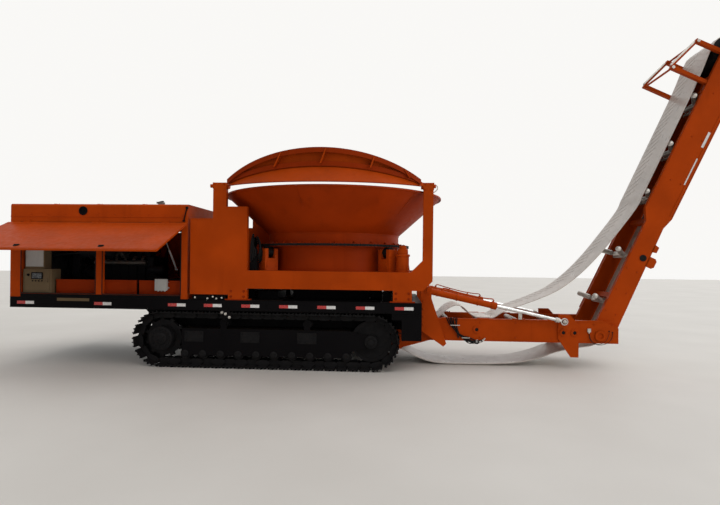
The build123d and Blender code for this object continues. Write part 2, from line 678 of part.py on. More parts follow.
def foot_outline():
    z = DECK_TOP + SEAT_GAP
    return [(PANEL_LEFT, PANEL_BOTTOM), (LEG_LEFT[0], PANEL_BOTTOM), (LEG_LEFT[0], z), (LEG_LEFT[1], z),
            (LEG_LEFT[1], BEAM_BOTTOM), (LEG_RIGHT[0], BEAM_BOTTOM), (LEG_RIGHT[0], z), (LEG_RIGHT[1], z),
            (LEG_RIGHT[1], BEAM_BOTTOM), (POST_RIGHT_OUTER - OUTER_CHAMFER, BEAM_BOTTOM),
            (POST_RIGHT_OUTER, BEAM_BOTTOM + OUTER_CHAMFER)]


def side_plate_near():
    outline = foot_outline() + [
        (POST_RIGHT_OUTER, POST_TOP), (POST_RIGHT_INNER, POST_TOP),
        (POST_RIGHT_INNER, BEAM_TOP + INNER_CHAMFER), (POST_RIGHT_INNER - INNER_CHAMFER, BEAM_TOP),
        (PANEL_RIGHT, BEAM_TOP), (PANEL_RIGHT, PANEL_SHOULDER), (POST_LEFT_INNER, PANEL_SHOULDER),
        (POST_LEFT_INNER, POST_TOP), (POST_LEFT_OUTER, POST_TOP), (POST_LEFT_OUTER, PANEL_TOP),
        (PANEL_LEFT, PANEL_TOP)]
    plate = side_cut(outline, -TRACK_OUTER_Y, -PLATE_INNER_Y)
    for x0, x1 in ((POST_LEFT_OUTER, POST_LEFT_INNER), (POST_RIGHT_INNER, POST_RIGHT_OUTER)):
        plate -= rod_x(x0 - 1, x1 + 1, HOOD_AXIS_Y, HOOD_AXIS_Z, HOOD_PIN + PIN_FIT)
    return plate


def side_plate_far():
    """The far side has no posts, and its feet are the eyes of the tilt hinge."""
    z = TILT_Z - FOOT_DROP
    notch = LEG_LEFT[0] - 2 * (EAR_GAP + EAR_WIDTH)
    outline = [(PANEL_LEFT, PANEL_BOTTOM), (notch, PANEL_BOTTOM), (notch, BEAM_BOTTOM), (LEG_LEFT[0], BEAM_BOTTOM),
               (LEG_LEFT[0], z), (LEG_LEFT[1], z),
               (LEG_LEFT[1], BEAM_BOTTOM), (LEG_RIGHT[0], BEAM_BOTTOM), (LEG_RIGHT[0], z), (LEG_RIGHT[1], z),
               (LEG_RIGHT[1], BEAM_BOTTOM), (POST_RIGHT_OUTER - OUTER_CHAMFER, BEAM_BOTTOM),
               (POST_RIGHT_OUTER, BEAM_BOTTOM + OUTER_CHAMFER), (POST_RIGHT_OUTER, BEAM_TOP),
               (PANEL_RIGHT, BEAM_TOP), (PANEL_RIGHT, PANEL_SHOULDER), (POST_LEFT_OUTER, PANEL_SHOULDER),
               (POST_LEFT_OUTER, PANEL_TOP), (PANEL_LEFT, PANEL_TOP)]
    plate = side_cut(outline, PLATE_INNER_Y, TRACK_OUTER_Y)
    for x0, x1 in (LEG_LEFT, LEG_RIGHT):
        plate -= rod_x(x0 - 1, x1 + 1, TILT_Y, TILT_Z, TILT_PIN + PIN_FIT)
    return plate


def tilt_hinge():
    """Ears on the deck either side of each far foot, with the pins that the tub frame tilts on."""
    ears = []
    for x0, x1 in (LEG_LEFT, LEG_RIGHT):
        ear = block(x0 - EAR_GAP - EAR_WIDTH, x0 - EAR_GAP, PLATE_INNER_Y, TRACK_OUTER_Y, DECK_TOP, TILT_Z + 2 * TILT_PIN)
        other = block(x1 + EAR_GAP, x1 + EAR_GAP + EAR_WIDTH, PLATE_INNER_Y, TRACK_OUTER_Y, DECK_TOP,
                      TILT_Z + 2 * TILT_PIN)
        ears.append(ear + other + rod_x(x0 - EAR_GAP - EAR_WIDTH, x1 + EAR_GAP + EAR_WIDTH, TILT_Y, TILT_Z, TILT_PIN))
    return ears


def tub_floor():
    y = PLATE_INNER_Y
    x0, x1 = PANEL_RIGHT, POST_RIGHT_INNER - INNER_CHAMFER
    floor = block(x0, x1, -y, y, BEAM_TOP - FLOOR_PLATE, BEAM_TOP)
    for x in (x0, x1 - CROSS_MEMBER):
        floor += block(x, x + CROSS_MEMBER, -y, y, BEAM_BOTTOM + CROSS_MEMBER_RISE, BEAM_TOP - FLOOR_PLATE)
    floor -= block(-MILL_OPENING_X, MILL_OPENING_X, -MILL_OPENING_Y, MILL_OPENING_Y, BEAM_TOP - FLOOR_PLATE - 1,
                   BEAM_TOP + 1)
    return floor


DRUM_RADIUS = TUB_BASE_RADIUS - TUB_WALL - DRUM_GAP
RING_INNER = TUB_BASE_RADIUS - RING_INSET
RING_RADIUS = RING_INNER + RING_WIDTH
SUPPORT_AXIS_Z = RING_BOTTOM - SEAT_GAP - SUPPORT_ROLLER


def staves(outline):
    """Equal curved plates round the tub's axis, from an outline in radius and Z."""
    face = make_face(Polyline(*[(r, 0, z) for r, z in outline], close=True).edges())
    step = 360.0 / STAVES
    plate = revolve(face, Axis.Z, revolution_arc=step)
    return [Rot(0, 0, step * (i + 0.5)) * plate for i in range(STAVES)]


def ring_outline(inner, outer, bottom, top):
    return [(inner, bottom), (outer, bottom), (outer, top), (inner, top)]


def floor_drum():
    return staves(ring_outline(DRUM_RADIUS - DRUM_WALL, DRUM_RADIUS, BEAM_TOP, DRUM_TOP))


def support_places():
    """Middle of each support and the way it faces."""
    radius = RING_RADIUS - SUPPORT_INSET
    turns = (SUPPORT_TURN, 180 - SUPPORT_TURN, 180 + SUPPORT_TURN, -SUPPORT_TURN)
    return [(radius * math.cos(math.radians(t)), radius * math.sin(math.radians(t)), t) for t in turns]


def roller_supports():
    """A seat with two cheeks for each of the ring's rollers, turned to the tub's axis."""
    supports = []
    half = SUPPORT_WIDTH / 2
    seat_top = SUPPORT_AXIS_Z - SUPPORT_ROLLER - 20
    for x, y, turn in support_places():
        place = Pos(x, y, 0) * Rot(0, 0, turn)
        supports.append(place * block(SUPPORT_CHEEK - half, half - SUPPORT_CHEEK, -half, half, BEAM_TOP, seat_top))
        for a, b in ((-half, SUPPORT_CHEEK - half), (half - SUPPORT_CHEEK, half)):
            supports.append(place * block(a, b, -half, half, BEAM_TOP, SUPPORT_AXIS_Z + SUPPORT_HEAD))
    return supports


def support_rollers():
    rollers = []
    half = SUPPORT_WIDTH / 2 - SUPPORT_CHEEK
    for x, y, turn in support_places():
        roller = rod_x(ROLLER_PLAY - half, half - ROLLER_PLAY, 0, SUPPORT_AXIS_Z, SUPPORT_ROLLER)
        roller += rod_x(-half, half, 0, SUPPORT_AXIS_Z, SUPPORT_PIN)
        rollers.append(Pos(x, y, 0) * Rot(0, 0, turn) * roller)
    return rollers


# Tub

def tub_ring():
    return staves(ring_outline(RING_INNER, RING_RADIUS, RING_BOTTOM, RING_TOP))


def tub_shell():
    """An upright base and a cone, which meet at a welded seam."""
    inner = TUB_BASE_RADIUS - TUB_WALL
    rim_inner = RIM_RADIUS - TUB_WALL / math.sin(math.atan2(RIM_Z - CONE_BOTTOM, RIM_RADIUS - TUB_BASE_RADIUS))
    cone = [(inner, CONE_BOTTOM), (TUB_BASE_RADIUS, CONE_BOTTOM), (RIM_RADIUS, RIM_Z), (rim_inner, RIM_Z)]
    return staves(ring_outline(inner, TUB_BASE_RADIUS, RING_TOP, CONE_BOTTOM)) + staves(cone)


# Hood

HOOD_LEFT = POST_LEFT_INNER + HOOD_SIDE_GAP
HOOD_RIGHT = POST_RIGHT_INNER - HOOD_SIDE_GAP


def hood_arcs(reach, inward):
    """The outer and inner edge of a curved strip in the plane through the hood's axis and one reach."""
    dy, dz = reach
    length = math.hypot(dy, dz)
    middle = (HOOD_LEFT + HOOD_RIGHT) / 2

    def at(x, r):
        return (x, HOOD_AXIS_Y + r * dy / length, HOOD_AXIS_Z + r * dz / length)

    return [ThreePointArc(at(HOOD_LEFT, HOOD_END_RADIUS - depth), at(middle, length - depth),
                          at(HOOD_RIGHT, HOOD_END_RADIUS - depth)) for depth in (0, inward * HOOD_SHEET)]


def hood_strip(low, high, inward):
    """A sheet between the arcs of two reaches, closed by faces ruled from edge to edge."""
    edges = hood_arcs(low, inward) + hood_arcs(high, inward)
    ring = [edges[0], edges[1], edges[3], edges[2]]
    faces = [Face.make_surface_from_curves(ring[i], ring[(i + 1) % 4]) for i in range(4)]
    for end in (0, 1):
        corners = [edge @ end for edge in ring]
        faces.append(Face(Wire.make_polygon(corners, close=True)))
    strip = Solid(Shell(faces))
    return strip


def hood_visor():
    return hood_strip(HOOD_EDGE, HOOD_FOLD, 1.5)


def hood_arch():
    return hood_strip(HOOD_FOLD, HOOD_CREST, 1.0)


def hood_lugs():
    lugs = []
    for x0, x1, pin0, pin1 in (
            (HOOD_LEFT, HOOD_LEFT + HOOD_LUG[0], POST_LEFT_OUTER - HOOD_PIN_ENDS[0], HOOD_LEFT),
            (HOOD_RIGHT - HOOD_LUG[0], HOOD_RIGHT, HOOD_RIGHT, POST_RIGHT_OUTER + HOOD_PIN_ENDS[1])):
        lug = rod_x(x0, x1, HOOD_AXIS_Y, HOOD_AXIS_Z, HOOD_LUG[1])
        lug += rod_x(pin0, pin1, HOOD_AXIS_Y, HOOD_AXIS_Z, HOOD_PIN)
        lugs.append(lug)
    return lugs


# Mill

def mill_housing():
    y, x = MILL_HALF_WIDTH, MILL_OPENING_X
    walls = block(-x - MILL_WALL, x + MILL_WALL, -y, y, MILL_BOTTOM, MILL_TOP)
    walls -= block(-x, x, -y + MILL_WALL, y - MILL_WALL, MILL_BOTTOM - 1, MILL_TOP + 1)
    walls -= rod_x(-x - MILL_WALL - 1, x + MILL_WALL + 1, 0, ROTOR_Z, SHAFT_RADIUS + PIN_FIT)
    feet = block(MILL_FOOT_INSET - x, x - MILL_FOOT_INSET, -RAIL_INNER_Y, -y, MILL_FEET[0], MILL_FEET[1])
    return walls + feet + mirrored(feet)


def belly_pan():
    """Sloping pan under the mill, open to the conveyor's tail."""
    x0, x1 = -MILL_OPENING_X - MILL_WALL, LIFT_X - TAIL_RADIUS - PAN_CLEARANCE
    left = RAIL_BOTTOM + 60
    right = left - PAN_DROP
    y = MILL_HALF_WIDTH
    pan = side_cut([(x0, left), (x1, right), (x1, right + PAN_SHEET), (x0, left + PAN_SHEET)], -y, y)
    for a, b in ((-y, PAN_SHEET - y), (y - PAN_SHEET, y)):
        pan += side_cut([(x0, left), (x1, right), (x1, MILL_BOTTOM), (x0, MILL_BOTTOM)], a, b)
    return pan


def mill_rotor():
    half = ROTOR_LENGTH / 2
    side = MILL_OPENING_X + MILL_WALL
    rotor = rod_x(-half, half, 0, ROTOR_Z, ROTOR_RADIUS)
    rotor += rod_x(-side - SHAFT_ENDS[0], side + SHAFT_ENDS[1], 0, ROTOR_Z, SHAFT_RADIUS)
    hammers = []
    for i in range(HAMMER_PLACES):
        for j in range(HAMMER_ROWS):
            x = -half + ROTOR_LENGTH * (i + 0.5) / HAMMER_PLACES
            turn = 360.0 * j / HAMMER_ROWS + HAMMER_LAG * i
            root = ROTOR_RADIUS - HAMMER_ROOT
            hammer = Pos(0, 0, (root + HAMMER_TIP) / 2) * Box(*HAMMER_SIZE, HAMMER_TIP - root)
            hammers.append(Pos(x, 0, ROTOR_Z) * Rot(turn, 0, 0) * hammer)
    return rotor + hammers


# Conveyor, lower section

def lift_brackets():
    near = block(LIFT_X - LIFT_EYE, LIFT_X + LIFT_EYE, -RAIL_OUTER_Y, -RAIL_OUTER_Y + LIFT_BRACKET,
                 LIFT_Z - LIFT_EYE, RAIL_BOTTOM)
    near -= rod_y(-RAIL_OUTER_Y - 1, -RAIL_OUTER_Y + LIFT_BRACKET + 1, LIFT_X, LIFT_Z, LIFT_SHAFT + PIN_FIT)
    return pair(near)


def cylinder_brackets():
    """Rear bracket plates either side of each lift cylinder, their back plate and the anchor pin."""
    outline = [(CHASSIS_RIGHT, RAIL_BOTTOM), (CHASSIS_RIGHT, ANCHOR_Z + BRACKET_EDGE),
               (ANCHOR_X + BRACKET_EDGE, ANCHOR_Z + BRACKET_EDGE), (ANCHOR_X + BRACKET_EDGE, ANCHOR_Z - 2 * BRACKET_EDGE),
               BRACKET_FOOT[1], BRACKET_FOOT[0]]
    inner = BARREL_RADIUS + BRACKET_GAP
    outer = inner + BRACKET_PLATE
    bore = rod_y(-CYLINDER_Y - outer - 1, -CYLINDER_Y + outer + 1, ANCHOR_X, ANCHOR_Z, CYLINDER_PIN)
    pieces = [rod_y(-CYLINDER_Y - outer - ANCHOR_HEAD, -CYLINDER_Y + outer + ANCHOR_HEAD, ANCHOR_X, ANCHOR_Z,
                    CYLINDER_PIN)]
    for y in (-CYLINDER_Y - outer, -CYLINDER_Y + inner):
        pieces.append(side_cut(outline, y, y + BRACKET_PLATE) - bore)
    pieces.append(block(CHASSIS_RIGHT, CHASSIS_RIGHT + BRACKET_BACK, -CYLINDER_Y - inner, -CYLINDER_Y + inner,
                        RAIL_BOTTOM, BRACKET_BACK_TOP))
    return [side for piece in pieces for side in pair(piece)]


def lower_beam():
    outline = [(LIFT_X - LIFT_EYE, LIFT_Z - LIFT_EYE), (LIFT_X + LIFT_EYE, LIFT_Z - LIFT_EYE),
               (BEAM_SHOULDER[1], LOWER_BOTTOM), (LOWER_RIGHT, LOWER_BOTTOM),
               (LOWER_RIGHT, LOWER_TOP - BEAM_NOSE[1]), (LOWER_RIGHT - BEAM_NOSE[0], LOWER_TOP),
               (BEAM_SHOULDER[0], LOWER_TOP), (LIFT_X - LIFT_EYE, LIFT_Z + LIFT_EYE)]
    beam = side_cut(outline, -LOWER_OUTER_Y, -LOWER_INNER_Y)
    beam -= rod_y(-LOWER_OUTER_Y - 1, -LOWER_INNER_Y + 1, FOLD_X, FOLD_Z, FOLD_PIN + PIN_FIT)
    beam -= rod_y(-LOWER_OUTER_Y - 1, -LOWER_INNER_Y + 1, LIFT_X, LIFT_Z, LIFT_SHAFT)
    plate = side_cut(EYE_PLATE_OUTLINE, -LOWER_OUTER_Y - EYE_PLATE, -LOWER_OUTER_Y)
    pin = rod_y(-CYLINDER_Y - EYE_WIDTH / 2 - ANCHOR_HEAD, -LOWER_OUTER_Y - EYE_PLATE, ROD_EYE_X, ROD_EYE_Z,
                CYLINDER_PIN)
    return [beam, plate + pin]


def lower_frame():
    frame = [side for piece in lower_beam() for side in pair(piece)]
    bottom = LOWER_BOTTOM + LOWER_CROSS_RISE
    for x in LOWER_CROSS:
        frame.append(block(x, x + LOWER_CROSS_SIZE[0], -LOWER_INNER_Y, LOWER_INNER_Y, bottom,
                           bottom + LOWER_CROSS_SIZE[1]))
    return frame


def tail_pulley():
    half = BELT_WIDTH / 2 + TAIL_SIDE
    pulley = rod_y(-half, half, LIFT_X, LIFT_Z, TAIL_RADIUS)
    return pulley + rod_y(-RAIL_OUTER_Y, RAIL_OUTER_Y, LIFT_X, LIFT_Z, LIFT_SHAFT)


def lower_idlers():
    rollers = []
    for x in LOWER_IDLERS:
        z = LOWER_TOP - IDLER_RADIUS
        rollers.append(rod_y(-BELT_WIDTH / 2, BELT_WIDTH / 2, x, z, IDLER_RADIUS)
                       + rod_y(-LOWER_INNER_Y, LOWER_INNER_Y, x, z, IDLER_RADIUS / 3))
    return rollers


# Conveyor, upper section, drawn level and then swung up about the fold pin

def raised(shape):
    return Pos(FOLD_X, 0, FOLD_Z) * Rot(0, -UPPER_ANGLE, 0) * shape


def upper_point(s, h):
    turn = math.radians(UPPER_ANGLE)
    return FOLD_X + s * math.cos(turn) - h * math.sin(turn), FOLD_Z + s * math.sin(turn) + h * math.cos(turn)


def along_upper(places, back):
    """Places along the upper section: some from the fold pin, the rest back from the head pulley."""
    return list(places) + [UPPER_LENGTH - distance for distance in back]


def upper_frame():
    foot, low_heel, high_heel = UPPER_FOOT
    outline = [(foot, -high_heel + 10), (high_heel, UPPER_LOW), (UPPER_STEP[0], UPPER_LOW + UPPER_WAIST),
               (UPPER_STEP[1], UPPER_LOW), (UPPER_LENGTH, UPPER_LOW),
               (UPPER_LENGTH + UPPER_NOSE, HEAD_H - UPPER_NOSE / 2), (UPPER_LENGTH + UPPER_NOSE, UPPER_WIDE_TOP),
               (UPPER_STEP[1], UPPER_WIDE_TOP), (UPPER_STEP[0], UPPER_NARROW_TOP), (high_heel, UPPER_NARROW_TOP),
               (foot, low_heel)]
    beam = side_cut(outline, -UPPER_OUTER_Y, -UPPER_INNER_Y)
    beam += rod_y(-LOWER_OUTER_Y - FOLD_PIN_HEAD, -UPPER_OUTER_Y, 0, 0, FOLD_PIN)
    frame = pair(beam)
    for s in along_upper(UPPER_CROSS, UPPER_CROSS_BACK):
        frame.append(block(s, s + UPPER_CROSS_SIZE[0], -UPPER_INNER_Y, UPPER_INNER_Y, -UPPER_CROSS_SIZE[1], 0))
    return [raised(piece) for piece in frame]


def head_pulley():
    half = BELT_WIDTH / 2
    pulley = rod_y(-half, half, UPPER_LENGTH, HEAD_H, HEAD_RADIUS)
    pulley += rod_y(-UPPER_INNER_Y, UPPER_INNER_Y, UPPER_LENGTH, HEAD_H, HEAD_SHAFT)
    return raised(pulley)


def head_drive():
    length, radius = HEAD_MOTOR
    return raised(rod_y(-UPPER_OUTER_Y - length, -UPPER_OUTER_Y, UPPER_LENGTH, HEAD_H, radius))


def upper_idlers():
    """Troughing sets: a level roller between two raised wings, each on a bar across the frame."""
    sets = []
    bar_top = CENTRE_H - IDLER_DROP
    for s in along_upper(UPPER_IDLERS, UPPER_IDLERS_BACK):
        end = CENTRE_ROLLER + IDLER_POST / 2
        roller = rod_y(-CENTRE_ROLLER, CENTRE_ROLLER, s, CENTRE_H, IDLER_RADIUS)
        roller += rod_y(-end - IDLER_POST, end + IDLER_POST, s, CENTRE_H, IDLER_RADIUS / 3)
        bar = block(s - IDLER_BAR, s + IDLER_BAR, -UPPER_INNER_Y, UPPER_INNER_Y, bar_top - IDLER_BAR_DEPTH, bar_top)
        post = block(s - IDLER_POST / 2, s + IDLER_POST / 2, end, end + IDLER_POST, bar_top, CENTRE_H + 2 * IDLER_POST)
        wing = Pos(s, WING_CENTRE[0], WING_CENTRE[1]) * Rot(WING_TILT, 0, 0) * rod_y(
            -WING_LENGTH / 2, WING_LENGTH / 2, 0, 0, IDLER_RADIUS)
        arm = block(s - IDLER_POST / 2, s + IDLER_POST / 2, WING_CENTRE[0] - IDLER_POST / 2,
                    WING_CENTRE[0] + IDLER_POST / 2, bar_top, WING_CENTRE[1])
        whole = roller + bar
        for piece in (post, wing, arm):
            whole += piece
            whole += mirrored(piece)
        sets.append(raised(whole))
    return sets


def head_guard():
    """Two pairs of arms standing over the belt near the head, joined across and along by bars."""
    outer, inner = -UPPER_OUTER_Y, -UPPER_INNER_Y
    pieces, corners = [], []
    for back, top in zip(GUARD_PLACES, GUARD_TOPS):
        s = UPPER_LENGTH - back
        half = GUARD_ARM / 2
        pieces += pair(block(s - half, s + half, outer, inner, UPPER_WIDE_TOP, top))
        pieces.append(rod_y(inner, -inner, s, top - GUARD_BAR, GUARD_BAR / 2))
        corners.append((s, top))
    (s0, h0), (s1, h1) = corners
    left, right = s1 + GUARD_ARM / 2, s0 - GUARD_ARM / 2
    middle = (outer + inner) / 2
    bar = side_cut([(left, h1 - GUARD_BAR), (right, h0 - GUARD_BAR), (right, h0), (left, h1)],
                   middle - GUARD_BAR / 2, middle + GUARD_BAR / 2)
    return [raised(piece) for piece in pieces + pair(bar)]


# Belt, off its idlers and hanging slack

def turn_between(a, b, c):
    return math.atan2(b[1] - a[1], b[0] - a[0]) - math.atan2(c[1] - b[1], c[0] - b[0])


def slack_radii(route, wraps):
    """Radius of each corner: as large as its two runs allow, or a pulley's own."""
    radii = []
    for i in range(1, len(route) - 1):
        run = min(math.dist(route[i - 1], route[i]), math.dist(route[i], route[i + 1]))
        turn = abs(math.remainder(turn_between(*route[i - 1:i + 2]), 2 * math.pi))
        radii.append(wraps.get(i, 0.45 * run / math.tan(turn / 2)))
    return radii


def belt(route, wraps=()):
    """A strip of belt along a route in X and Z; wraps gives a radius for the corners round a pulley."""
    path = FilletPolyline(*[(x, 0, z) for x, z in route], radius=slack_radii(route, dict(wraps)))
    start = Plane(origin=path @ 0, x_dir=(0, 1, 0), z_dir=path % 0)
    return sweep(start * Rectangle(BELT_WIDTH, BELT_THICKNESS), path=path)


TAIL_WRAP = TAIL_RADIUS + WRAP_GAP + BELT_THICKNESS / 2
HEAD_WRAP = HEAD_RADIUS + WRAP_GAP + BELT_THICKNESS / 2
IDLER_TOP = LOWER_TOP + WRAP_GAP + BELT_THICKNESS / 2
GROUND_GAP = 3.0
FLOOR_LINE = GROUND_GAP + BELT_THICKNESS / 2


def belt_lower():
    """From the slack over the conveyor, over a hump and round the tail, to the slack on the ground."""
    tail = TAIL_WRAP + PULLEY_CORNER
    route = [(LOWER_SLACK_X, IDLER_TOP), (2580, IDLER_TOP + 2), (2460, 880), (2340, 1030), (2210, 1080), (2060, 990),
             (1930, 840), (1700, 690), (1400, LIFT_Z + tail + 40), (LIFT_X + 60, LIFT_Z + tail),
             (LIFT_X - tail, LIFT_Z + tail), (LIFT_X - tail, LIFT_Z - tail), (LIFT_X + 50, LIFT_Z - tail),
             (1370, 210), (1600, 90), (1850, 25), (RETURN_SLACK_X, FLOOR_LINE)]
    return belt(route, {10: TAIL_WRAP, 11: TAIL_WRAP})


def belt_slack_top():
    route = [(LOWER_SLACK_X + SLACK_GAP, IDLER_TOP), (2860, IDLER_TOP + 1), (3040, 950), (3340, 1065), (3660, 1190),
             (3980, 1350), (4300, 1600), (4600, 1910), (4880, 2260), (5120, 2650)]
    end = upper_point(UPPER_SLACK - SLACK_GAP, CARRY_H)
    beside = upper_point(UPPER_SLACK - 250, CARRY_H)
    return belt(route[:-1] + [beside, end])


def belt_slack_return():
    route = [(RETURN_SLACK_X + SLACK_GAP, FLOOR_LINE), (2500, FLOOR_LINE + 1), (2900, 20), (3300, 60), (3650, 150),
             (3950, 270), (4250, 340), (4560, 400), (4730, 560)]
    route.append(upper_point(UPPER_RETURN - 200, RETURN_H))
    route.append(upper_point(UPPER_RETURN - SLACK_GAP, RETURN_H))
    return belt(route)


def belt_upper():
    head = HEAD_WRAP + PULLEY_CORNER
    end = UPPER_LENGTH + head
    route = [(UPPER_RETURN, RETURN_H), (UPPER_LENGTH - 1000, RETURN_H + 2), (UPPER_LENGTH - 400, HEAD_H - head),
             (end, HEAD_H - head), (end, HEAD_H + head), (UPPER_LENGTH - 80, HEAD_H + head),
             (UPPER_LENGTH - 800, CARRY_H + 20), (UPPER_SLACK + 300, CARRY_H + 1), (UPPER_SLACK, CARRY_H)]
    return raised(belt(route, {3: HEAD_WRAP, 4: HEAD_WRAP}))


# Lift cylinders

def along_cylinder():
    dx, dz = ROD_EYE_X - ANCHOR_X, ROD_EYE_Z - ANCHOR_Z
    return math.hypot(dx, dz), math.degrees(math.atan2(dz, dx))


def in_cylinder(shape):
    """From the cylinder's own line along X to its place at rest."""
    return Pos(ANCHOR_X, 0, ANCHOR_Z) * Rot(0, -along_cylinder()[1], 0) * shape


def lift_barrel():
    y = -CYLINDER_Y
    barrel = rod_x(EYE_RADIUS - 10, BARREL_LENGTH, y, 0, BARREL_RADIUS)
    barrel += rod_y(y - EYE_WIDTH / 2, y + EYE_WIDTH / 2, 0, 0, EYE_RADIUS)
    barrel -= rod_y(y - EYE_WIDTH, y + EYE_WIDTH, 0, 0, CYLINDER_PIN + PIN_FIT)
    barrel -= rod_x(BARREL_FLOOR, BARREL_LENGTH + 1, y, 0, ROD_RADIUS + PIN_FIT)
    return pair(in_cylinder(barrel))


def lift_rod():
    y = -CYLINDER_Y
    length = along_cylinder()[0]
    rod = rod_x(BARREL_LENGTH - ROD_ROOT, length - EYE_RADIUS + 5, y, 0, ROD_RADIUS)
    rod += rod_y(y - EYE_WIDTH / 2, y + EYE_WIDTH / 2, length, 0, EYE_RADIUS)
    rod -= rod_y(y - EYE_WIDTH, y + EYE_WIDTH, length, 0, CYLINDER_PIN + EYE_PLAY)
    return pair(in_cylinder(rod))


def main():
    os.makedirs("parts", exist_ok=True)
    save("track_near", track_near())
    save("track_far", mirrored(track_near()))
    save("track_frames", pair(track_frame_near()))
    save("track_rollers", [m for r in track_rollers_near() for m in pair(r)])
    save("sprockets", pair(sprocket_near()))
    save("idlers", pair(idler_near()))
    save("chassis_frame", chassis_frame())
    save("end_boxes", pair(end_boxes()))
    save("car_body", car_body())
    save("enclosure_frame", enclosure_frame())
    save("enclosure_roof", enclosure_roof())
    save("enclosure_walls", end_wall(), bulkhead())
    save("end_grille", end_grille())
    save("engine_block", engine_block())
    save("radiator_pack", radiator_pack())
    save("hydraulic_tank", hydraulic_tank())
    save("control_box", control_box())
    save("sill_panel", sill_panel())
    save("exhaust_cap", exhaust_cap())
    save("door_near", door_near())
    save("door_far", door_far())
    save("side_plate_near", side_plate_near())
    save("side_plate_far", side_plate_far())
    save("tilt_hinge", tilt_hinge())
    save("tub_floor", tub_floor())
    save("floor_drum", floor_drum())
    save("roller_supports", roller_supports())
    save("support_rollers", support_rollers())
    save("tub_ring", tub_ring())
    save("tub_shell", tub_shell())
    save("hood_visor", hood_visor())
    save("hood_arch", hood_arch())
    save("hood_lugs", hood_lugs())
    save("mill_housing", mill_housing())
    save("mill_rotor", mill_rotor())
    save("belly_pan", belly_pan())
    save("conveyor_brackets", lift_brackets() + cylinder_brackets())
    save("lower_frame", lower_frame())
    save("tail_pulley", tail_pulley())
    save("lower_idlers", lower_idlers())
    save("upper_frame", upper_frame())
    save("head_pulley", head_pulley())
    save("head_drive", head_drive())
    save("upper_idlers", upper_idlers())
    save("head_guard", head_guard())
    save("belt_lower", belt_lower())
    save("belt_slack_top", belt_slack_top())
    save("belt_slack_return", belt_slack_return())
    save("belt_upper", belt_upper())
    save("lift_barrels", lift_barrel())
    save("lift_rods", lift_rod())


main()
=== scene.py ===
import itertools
import json
import math

import bmesh
import bpy
from mathutils import Matrix, Vector


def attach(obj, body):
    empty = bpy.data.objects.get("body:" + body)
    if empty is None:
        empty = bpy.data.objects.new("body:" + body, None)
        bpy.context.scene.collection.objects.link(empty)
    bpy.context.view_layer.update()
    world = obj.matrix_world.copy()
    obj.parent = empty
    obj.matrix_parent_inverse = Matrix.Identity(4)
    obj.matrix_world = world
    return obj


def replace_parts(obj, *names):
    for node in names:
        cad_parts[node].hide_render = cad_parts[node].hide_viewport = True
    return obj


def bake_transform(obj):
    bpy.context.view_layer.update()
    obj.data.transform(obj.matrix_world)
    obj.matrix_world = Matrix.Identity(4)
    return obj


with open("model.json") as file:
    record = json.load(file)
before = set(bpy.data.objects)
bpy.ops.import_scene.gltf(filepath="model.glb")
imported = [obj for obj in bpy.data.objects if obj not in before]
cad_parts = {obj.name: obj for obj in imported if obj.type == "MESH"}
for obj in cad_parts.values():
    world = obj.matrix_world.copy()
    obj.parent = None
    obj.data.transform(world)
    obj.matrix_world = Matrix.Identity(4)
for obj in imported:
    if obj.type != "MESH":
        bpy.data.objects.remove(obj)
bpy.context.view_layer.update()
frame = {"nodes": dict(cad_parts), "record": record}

# Camera, from the photograph: focal length and horizon in pixels of a 720 x 505 picture

PICTURE_WIDTH, PICTURE_HEIGHT = 720, 505
FOCAL_PIXELS = 520
HORIZON_ROW = 262
CAMERA_PLACE = (1.1245, -9.624, 1.78)
CAMERA_YAW = math.radians(3.8)
CAMERA_ROLL = 0.0115
SENSOR = 36.0


def add_object(name, data):
    obj = bpy.data.objects.new(name, data)
    bpy.context.scene.collection.objects.link(obj)
    return obj


def make_camera():
    data = bpy.data.cameras.new("photo_camera")
    data.sensor_width = SENSOR
    data.lens = SENSOR * FOCAL_PIXELS / PICTURE_WIDTH
    data.shift_y = (HORIZON_ROW - PICTURE_HEIGHT / 2) / PICTURE_WIDTH
    data.clip_end = 300
    camera = add_object("photo_camera", data)
    level = Matrix.Rotation(CAMERA_YAW, 4, "Z") @ Matrix.Rotation(math.pi / 2, 4, "X")
    camera.matrix_world = Matrix.Translation(CAMERA_PLACE) @ level @ Matrix.Rotation(CAMERA_ROLL, 4, "Z")
    bpy.context.scene.camera = camera


make_camera()

# Materials

DARK, WHITE = (0, 0, 0), (1, 1, 1)


def grey(level):
    return (level,) * 3


def shade(colour, factor):
    return tuple(min(1.0, c * factor) for c in colour)


